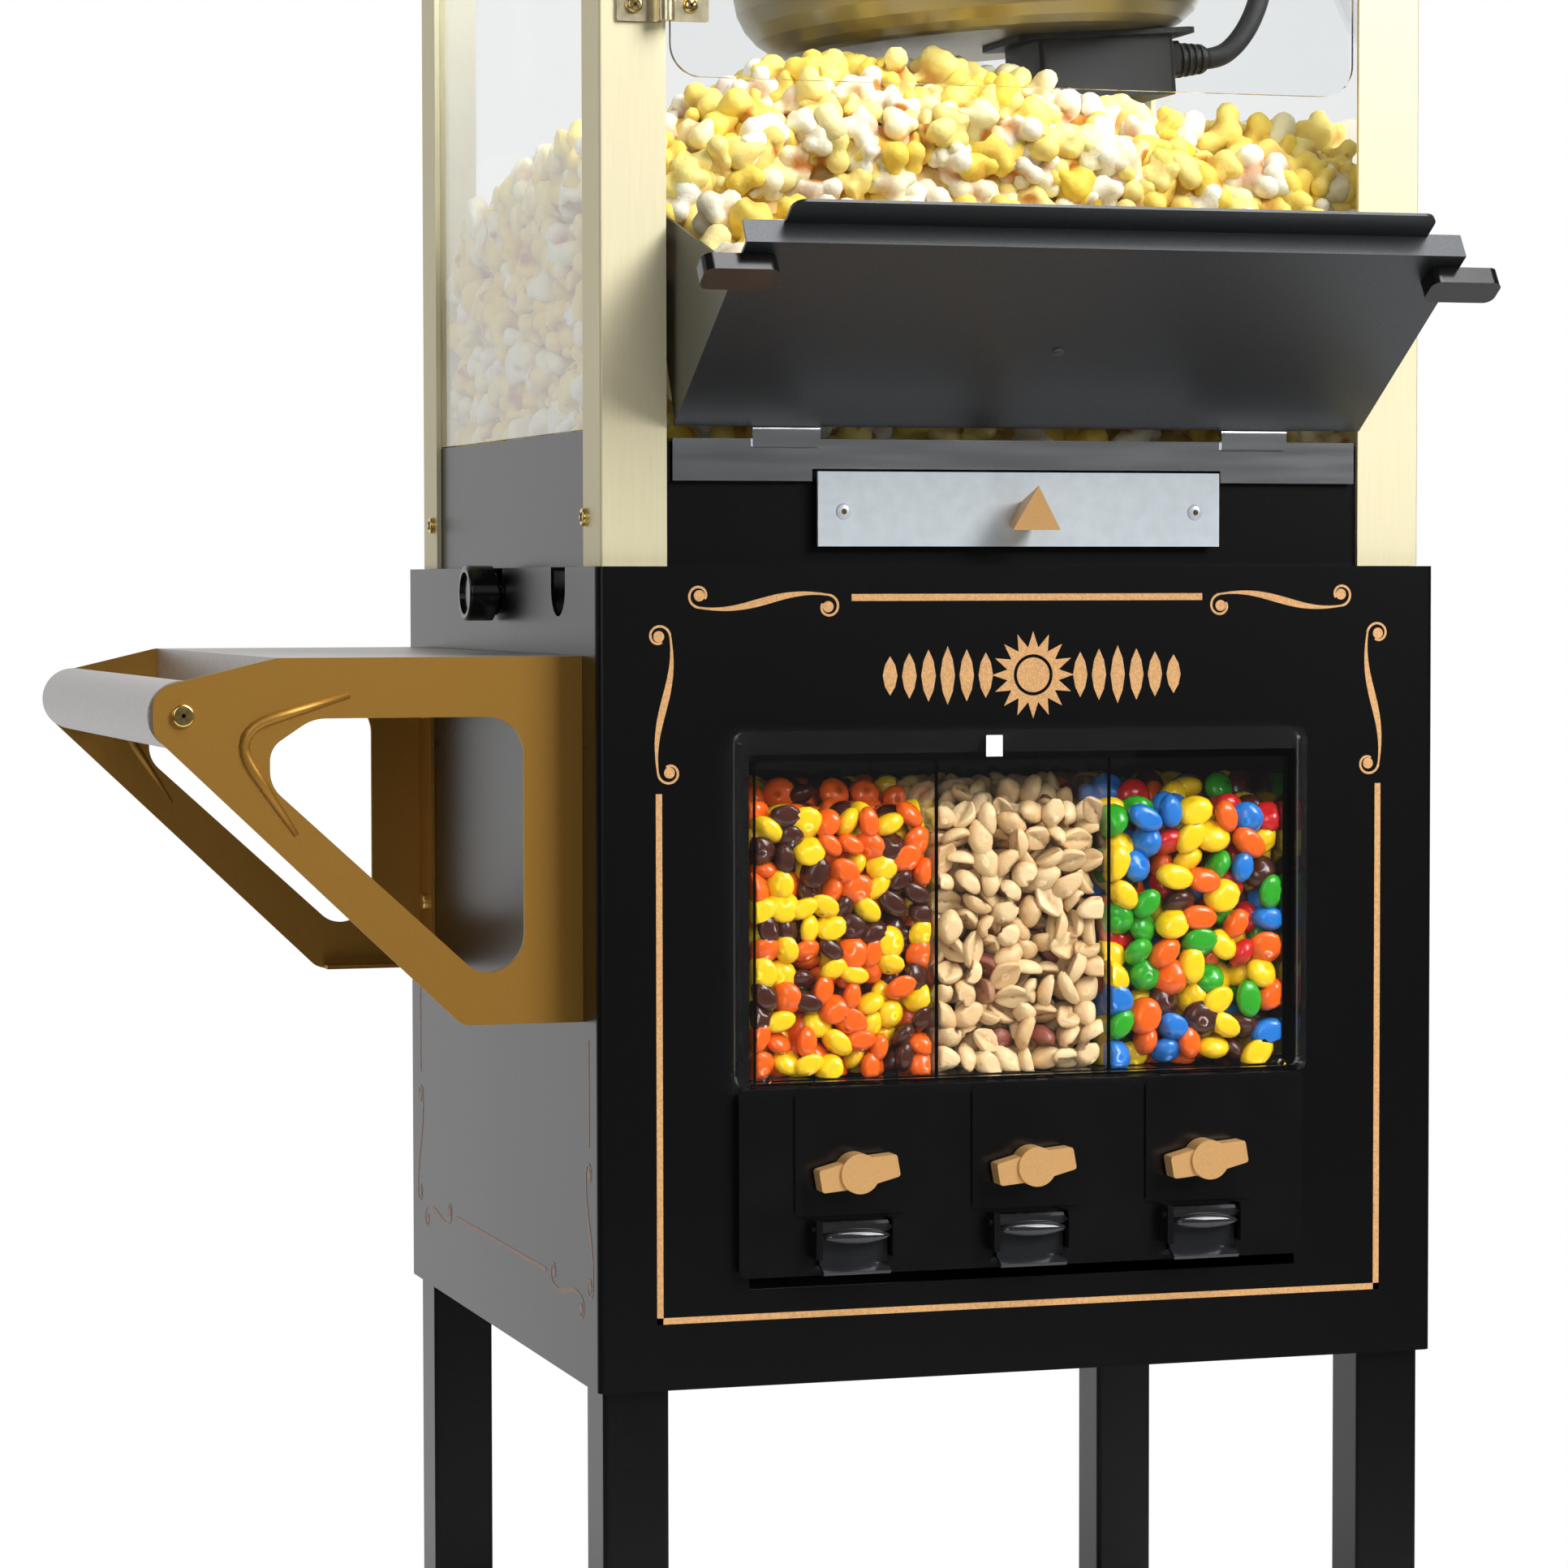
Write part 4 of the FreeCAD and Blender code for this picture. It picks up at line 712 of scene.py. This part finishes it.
MAT["candy_mixed"] = finish_color(attribute_material("candy_shell_mixed", (0.16, 0.28), 0.5, 0.05, [
    (0.0, YELLOW), (0.26, ORANGE), (0.42, RED), (0.58, GREEN), (0.74, BLUE), (0.88, BROWN)]),
    (0.02, 0.01, 0.0), 0.0)
# For nuts the brown mixed in is painted shade in the groove of the flat face, which is also a little darker
# all over.
MAT["nut"] = finish_color(attribute_material("roast_nut", (0.38, 0.55), 0.12, 0.25, [
    (0.0, (0.66, 0.42, 0.19)), (0.5, (0.76, 0.54, 0.28)), (0.92, (0.76, 0.54, 0.28)),
    (0.94, (0.24, 0.06, 0.035))], sss=0.12, bump_scale=900.0), (0.45, 0.24, 0.08), 0.8)


def flake(seed):
    """One popped kernel: lobes merged into a skin, with folds between them."""
    rng = random.Random(seed)
    bm = bmesh.new()
    count = rng.randint(10, 14)
    for i in range(count):
        a, b = rng.uniform(0, 2 * math.pi), rng.uniform(-1.0, 1.0)
        reach = rng.uniform(4.2, 8.0) if i else 0.0
        side = math.sqrt(1 - b * b)
        r = rng.uniform(1.9, 4.3) if i else 5.0
        spot = Vector((side * math.cos(a), side * math.sin(a), b * 0.75)) * reach
        bmesh.ops.create_icosphere(bm, subdivisions=2, radius=r, matrix=Matrix.Translation(spot))
    mesh = bpy.data.meshes.new("flake")
    bm.to_mesh(mesh)
    bm.free()
    obj = bpy.data.objects.new("flake", mesh)
    bpy.context.collection.objects.link(obj)
    skin = obj.modifiers.new("skin", "REMESH")
    skin.mode = "VOXEL"
    skin.voxel_size = 1.1
    even = obj.modifiers.new("even", "SMOOTH")
    even.factor = 0.5
    even.iterations = 1
    fewer = obj.modifiers.new("fewer", "DECIMATE")
    fewer.ratio = 0.22
    graph = bpy.context.evaluated_depsgraph_get()
    done = bpy.data.meshes.new_from_object(obj.evaluated_get(graph))
    verts = np.empty(len(done.vertices) * 3)
    done.vertices.foreach_get("co", verts)
    verts = verts.reshape(-1, 3)
    done.calc_loop_triangles()
    tris = np.empty(len(done.loop_triangles) * 3, dtype=np.int64)
    done.loop_triangles.foreach_get("vertices", tris)
    bpy.data.objects.remove(obj)
    verts -= verts.mean(0)
    radius = np.linalg.norm(verts, axis=1)
    # Painted shade in the folds: the nearer a vertex lies to the middle, the darker it is. The hull patch
    # below is the kernel's own brown.
    crease_shade_and_tone = np.clip((7.0 - radius) / 3.2, 0, 1) ** 1.3
    hull = Vector((rng.uniform(-1, 1), rng.uniform(-1, 1), rng.uniform(-1, 1))).normalized()
    near_hull = (verts @ np.array(hull)) / np.maximum(radius, 1e-6)
    crease_shade_and_tone = np.clip(crease_shade_and_tone + np.where(near_hull > 0.9, 0.9, 0.0) * (radius < 7.0), 0, 1)
    return verts * MM, tris.reshape(-1, 3), crease_shade_and_tone


def lentil(width, thick, rows=8, cols=14):
    """A sugar-coated sweet: a flattened ball."""
    verts, faces = [], []
    for i in range(rows + 1):
        a = math.pi * i / rows
        for j in range(cols):
            b = 2 * math.pi * j / cols
            verts.append((math.sin(a) * math.cos(b) * width / 2, math.sin(a) * math.sin(b) * width / 2,
                          math.cos(a) * thick / 2))
    for i in range(rows):
        for j in range(cols):
            k = (j + 1) % cols
            quad = (i * cols + j, (i + 1) * cols + j, (i + 1) * cols + k, i * cols + k)
            faces += [(quad[0], quad[1], quad[2]), (quad[0], quad[2], quad[3])]
    return np.array(verts) * MM, np.array(faces), np.zeros(len(verts))


def nut(seed):
    """A roasted peanut half: an oval with a flat grooved face."""
    rng = random.Random(seed)
    v, f, crease_shade_and_tone = lentil(9.2, 8.4, 10, 16)
    v = v / MM
    length = rng.uniform(1.35, 1.7)
    v[:, 0] *= length
    v[:, 1] *= 1 + 0.12 * np.cos(v[:, 0] * 0.6)
    flat = v[:, 2] < -1.0
    groove = np.exp(-(v[:, 1] / 1.0) ** 2)
    v[:, 2] = np.where(flat, -1.0 + 0.9 * groove, v[:, 2])
    # Painted shade in the groove; the flat face is also darkened a little all over.
    crease_shade_and_tone = np.where(flat, 0.55 * groove + 0.1, 0.0)
    return v * MM, f, crease_shade_and_tone


ORIGIN = np.array(at(0, 0, 0))


def pressed(verts, lo, hi):
    """Grains flattened against the walls of their box, in cabinet millimetres."""
    local = (verts - ORIGIN) / MM
    return np.clip(local, lo, hi) * MM + ORIGIN


BIN_FLOOR = -191.8
BIN_RAMP_START = 36.0
BIN_RAMP_RISE = 0.908


def pressed_in_bin(verts, x0, x1):
    """The same in a dispenser bin, whose floor rises to the back."""
    local = (verts - ORIGIN) / MM
    local = np.clip(local, (x0 + 0.4, 3.4, BIN_FLOOR), (x1 - 0.4, 82.0, -60.0))
    floor_z = BIN_FLOOR + np.clip(local[:, 1] - BIN_RAMP_START, 0, None) * BIN_RAMP_RISE
    local[:, 2] = np.maximum(local[:, 2], floor_z)
    return local * MM + ORIGIN


def scatter(name, spots, kinds, mat, body, rng, press, size=(0.9, 1.1)):
    """Copies of the kinds at the spots, turned at random and pressed into shape, as one piece."""
    verts, faces, tint, crease_shade_and_tone = [], [], [], []
    base = 0
    for spot in spots:
        v, f, d = kinds[rng.integers(len(kinds))]
        q = rng.normal(size=4)
        q /= np.linalg.norm(q)
        w, x, y, z = q
        rot = np.array([[1 - 2 * (y * y + z * z), 2 * (x * y - z * w), 2 * (x * z + y * w)],
                        [2 * (x * y + z * w), 1 - 2 * (x * x + z * z), 2 * (y * z - x * w)],
                        [2 * (x * z - y * w), 2 * (y * z + x * w), 1 - 2 * (x * x + y * y)]])
        verts.append(v @ rot.T * rng.uniform(*size) + np.array(spot))
        faces.append(f + base)
        tint.append(np.full(len(v), rng.uniform(0, 1)))
        crease_shade_and_tone.append(d)
        base += len(v)
    verts, faces = press(np.concatenate(verts)), np.concatenate(faces)
    mesh = bpy.data.meshes.new(name)
    mesh.vertices.add(len(verts))
    mesh.vertices.foreach_set("co", verts.ravel())
    mesh.loops.add(len(faces) * 3)
    mesh.loops.foreach_set("vertex_index", faces.ravel().astype(np.int32))
    mesh.polygons.add(len(faces))
    mesh.polygons.foreach_set("loop_start", np.arange(0, len(faces) * 3, 3, dtype=np.int32))
    mesh.update(calc_edges=True)
    mesh.polygons.foreach_set("use_smooth", [True] * len(faces))
    for label, values in (("tint", tint), ("crease_shade_and_tone", crease_shade_and_tone)):
        layer = mesh.attributes.new(label, "FLOAT", "POINT")
        layer.data.foreach_set("value", np.concatenate(values).astype(np.float32))
    mesh.validate()
    return add(name, mesh, mat, body)


def settle(rng, lo, hi, pitch, rounds=60):
    """Spots for a bed of grains in a box, in millimetres: a jittered grid pushed apart until even."""
    lo, hi = np.array(lo, float), np.array(hi, float)
    counts = np.maximum(1, np.round((hi - lo) / pitch)).astype(int)
    axes = [np.linspace(a + pitch / 2, b - pitch / 2, n) if n > 1 else np.array([(a + b) / 2])
            for a, b, n in zip(lo, hi, counts)]
    grid = np.stack(np.meshgrid(*axes, indexing="ij"), -1).reshape(-1, 3)
    grid += rng.uniform(-0.45, 0.45, grid.shape) * pitch
    for _ in range(rounds):
        gap = grid[:, None, :] - grid[None, :, :]
        dist = np.linalg.norm(gap, axis=2) + np.eye(len(grid)) * 99
        push = np.clip(pitch - dist, 0, None) / dist
        grid += 0.25 * (gap * push[..., None]).sum(1)
        grid = np.clip(grid, lo + pitch * 0.3, hi - pitch * 0.3)
    return grid


BIN_LEFTS = (61.5, 134.0, 203.4)
BIN_RIGHTS = (131.0, 200.6, 273.8)
rng = np.random.default_rng(11)
candy_shape = [lentil(12.4, 7.4)]
big_candy = [lentil(14.0, 9.0)]
nuts = [nut(i) for i in range(5)]
fills = (("candy_left_bin", candy_shape, MAT["candy_warm"], 8.2), ("nuts_centre_bin", nuts, MAT["nut"], 8.6),
         ("candy_right_bin", big_candy, MAT["candy_mixed"], 9.6))
for (name, kinds, mat, pitch), x0, x1 in zip(fills, BIN_LEFTS, BIN_RIGHTS):
    bed = settle(rng, (x0, 4.5, -191.0), (x1, 34.0, -91.0), pitch)
    back = settle(rng, (x0, 34.0, -160.0), (x1, 78.0, -84.0), pitch, 20)
    spots = [at(*p) for p in np.concatenate([bed, back])]
    scatter(name, spots, kinds, mat, "cart", rng, lambda verts: pressed_in_bin(verts, x0, x1))


# Height of the popped corn, in cabinet millimetres: read along the front and along the left glass
HEAP_X = (6, 52, 96, 144, 170, 204, 252, 286, 321, 330)
HEAP_TOP = (160, 176, 196, 197, 198, 188, 178, 177, 176, 172)
HEAP_Y = (12, 30, 60, 90, 130, 199, 235, 262, 296)
HEAP_SHARE = (0.60, 0.84, 1.0, 1.0, 0.98, 0.93, 0.86, 0.74, 0.50)
CORN_FLOOR = 43.4
# Where the middles of flakes may lie, and the box inside the glass that they are pressed into
HEAP_LO = (17.5, 31.0)
HEAP_HI = (317.0, 281.0)
CHAMBER = ((9.2, 17.0, CORN_FLOOR + 0.3), (325.0, 295.5, 300.0))


def heap_top(x, y):
    """Top of the heap; its left edge against the glass follows the back-to-front profile seen there."""
    front_line = np.interp(x, HEAP_X, HEAP_TOP)
    rise = np.interp(y, HEAP_Y, HEAP_SHARE)
    return CORN_FLOOR + (front_line - CORN_FLOOR) * rise


def outside_kettle(p):
    """True where a flake's middle clears the kettle and its connector."""
    x, y, z = p
    low = 203.0 + (x - 90.0) * 0.078
    under_bowl = math.hypot(x - 186.0, y - 122.0) < 104.0
    under_socket = 186.0 < x < 278.0 and 70.0 < y < 140.0
    if under_bowl and z > low - 11.0:
        return False
    return not (under_socket and z > 172.0)


def heap_spots(rng, pitch, shell):
    """Flake middles: a closed skin under the heap's top, then a loose shell along the glass."""
    spots = []
    for depth in (7.5, 18.0):
        for x in np.arange(17.0, 320.0, 12.0):
            for y in np.arange(25.0, 284.0, 12.0):
                px, py = np.clip((x, y) + rng.uniform(-4.5, 4.5, 2), HEAP_LO, HEAP_HI)
                p = np.array((px, py, heap_top(px, py) - depth + rng.uniform(-3.5, 2.5)))
                while not outside_kettle(p):
                    p[2] -= 4.0
                spots.append(p)
    for x in np.arange(17.0, 320.0, pitch):
        for y in np.arange(25.0, 284.0, pitch):
            for z in np.arange(CORN_FLOOR + 10.0, 190.0, pitch):
                p = np.array((x, y, z)) + rng.uniform(-0.35, 0.35, 3) * pitch
                p[:2] = np.clip(p[:2], HEAP_LO, (HEAP_HI[0], HEAP_HI[1] - 1.0))
                edge = min(p[0] - 17.0, 317.0 - p[0], p[1] - 31.0, 276.0 - p[1])
                if heap_top(p[0], p[1]) - 22.0 > p[2] and edge < shell:
                    spots.append(p)
    return np.array(spots)


flakes = [flake(100 + i) for i in range(16)]
corn_spots = heap_spots(rng, 14.5, 17.0)
top_first = corn_spots[np.lexsort((corn_spots[:, 0], corn_spots[:, 1]))]
PIECES = 6
for part, group in enumerate(np.array_split(top_first, PIECES)):
    scatter("popcorn_%d" % (part + 1), [at(*p) for p in group], flakes, MAT["popcorn"], "cart", rng,
            lambda verts: pressed(verts, *CHAMBER), (1.1, 1.38))


def heap_core():
    """A closed lumpy solid inside the shell of flakes, so no gap shows through."""
    xs = np.linspace(20.0, 315.0, 34)
    ys = np.linspace(33.0, 270.0, 28)
    verts, nx, ny = [], len(xs), len(ys)
    for z_of in (lambda x, y: heap_top(x, y) - 24.0, lambda x, y: CORN_FLOOR + 2.0):
        for y in ys:
            for x in xs:
                z = z_of(x, y)
                while not outside_kettle((x, y, z + 14.0)):
                    z -= 4.0
                verts.append(at(x, y, max(z, CORN_FLOOR + 2.0)))
    half = nx * ny
    faces = []
    for j in range(ny - 1):
        for i in range(nx - 1):
            a = j * nx + i
            faces.append((a, a + 1, a + nx + 1, a + nx))
            faces.append((half + a + nx, half + a + nx + 1, half + a + 1, half + a))
    rim = list(range(nx)) + [j * nx + nx - 1 for j in range(1, ny)]
    rim += [(ny - 1) * nx + i for i in range(nx - 2, -1, -1)] + [j * nx for j in range(ny - 2, 0, -1)]
    for a, b in zip(rim, rim[1:] + rim[:1]):
        faces.append((b, a, half + a, half + b))
    return add("popcorn_core", mesh_of("popcorn_core", verts, faces, True), MAT["corn_core"], "cart")


MAT["corn_core"] = surface("corn_depth", (0.80, 0.56, 0.20), rough=(0.6, 0.8), scale=70, spread=0.25,
                           bump=0.5, bump_scale=120)
heap_core()


HATCH_HEAP_Y = (-62, -40, -12, 12)
HATCH_HEAP_TOP = (88, 117, 133, 158)
HATCH_BOX = ((33.5, -80.0, 53.0), (302.5, 60.0, 200.0))


def hatch_corn():
    """Corn lying in the open hatch, lower to the front and a little lower away from its left end."""
    spots = []
    for x in np.arange(46.0, 290.0, 16.0):
        for u in np.arange(12.0, 84.0, 15.0):
            for v in np.arange(17.0, 70.0, 15.0):
                y, z = on_hatch(u, v)
                dip = np.interp(x, (35, 80, 330), (0, 10, 10))
                limit = np.interp(y, HATCH_HEAP_Y, HATCH_HEAP_TOP) - dip
                if z < limit - 8.0 and y < 15.0:
                    spot = on_hatch(u + rng.uniform(-3, 3), v + rng.uniform(0, 4))
                    spots.append(at(x + rng.uniform(-4, 4), *spot))
    scatter("popcorn_hatch", spots, flakes, MAT["popcorn"], "hatch", rng,
            lambda verts: pressed(verts, *HATCH_BOX), (1.1, 1.3))


hatch_corn()


# ---- floor and end ----
def floor():
    bm = bmesh.new()
    bmesh.ops.create_circle(bm, cap_ends=True, segments=96, radius=1.5)
    mesh = from_bmesh("studio_floor", bm, False)
    obj = bpy.data.objects.new("studio_floor", mesh)
    bpy.context.collection.objects.link(obj)
    white = surface("studio_white", (0.86, 0.86, 0.86), rough=(0.5, 0.7), scale=6, spread=0.01)
    mesh.materials.append(white)
    obj.location = (0, 0, -0.0005)


floor()
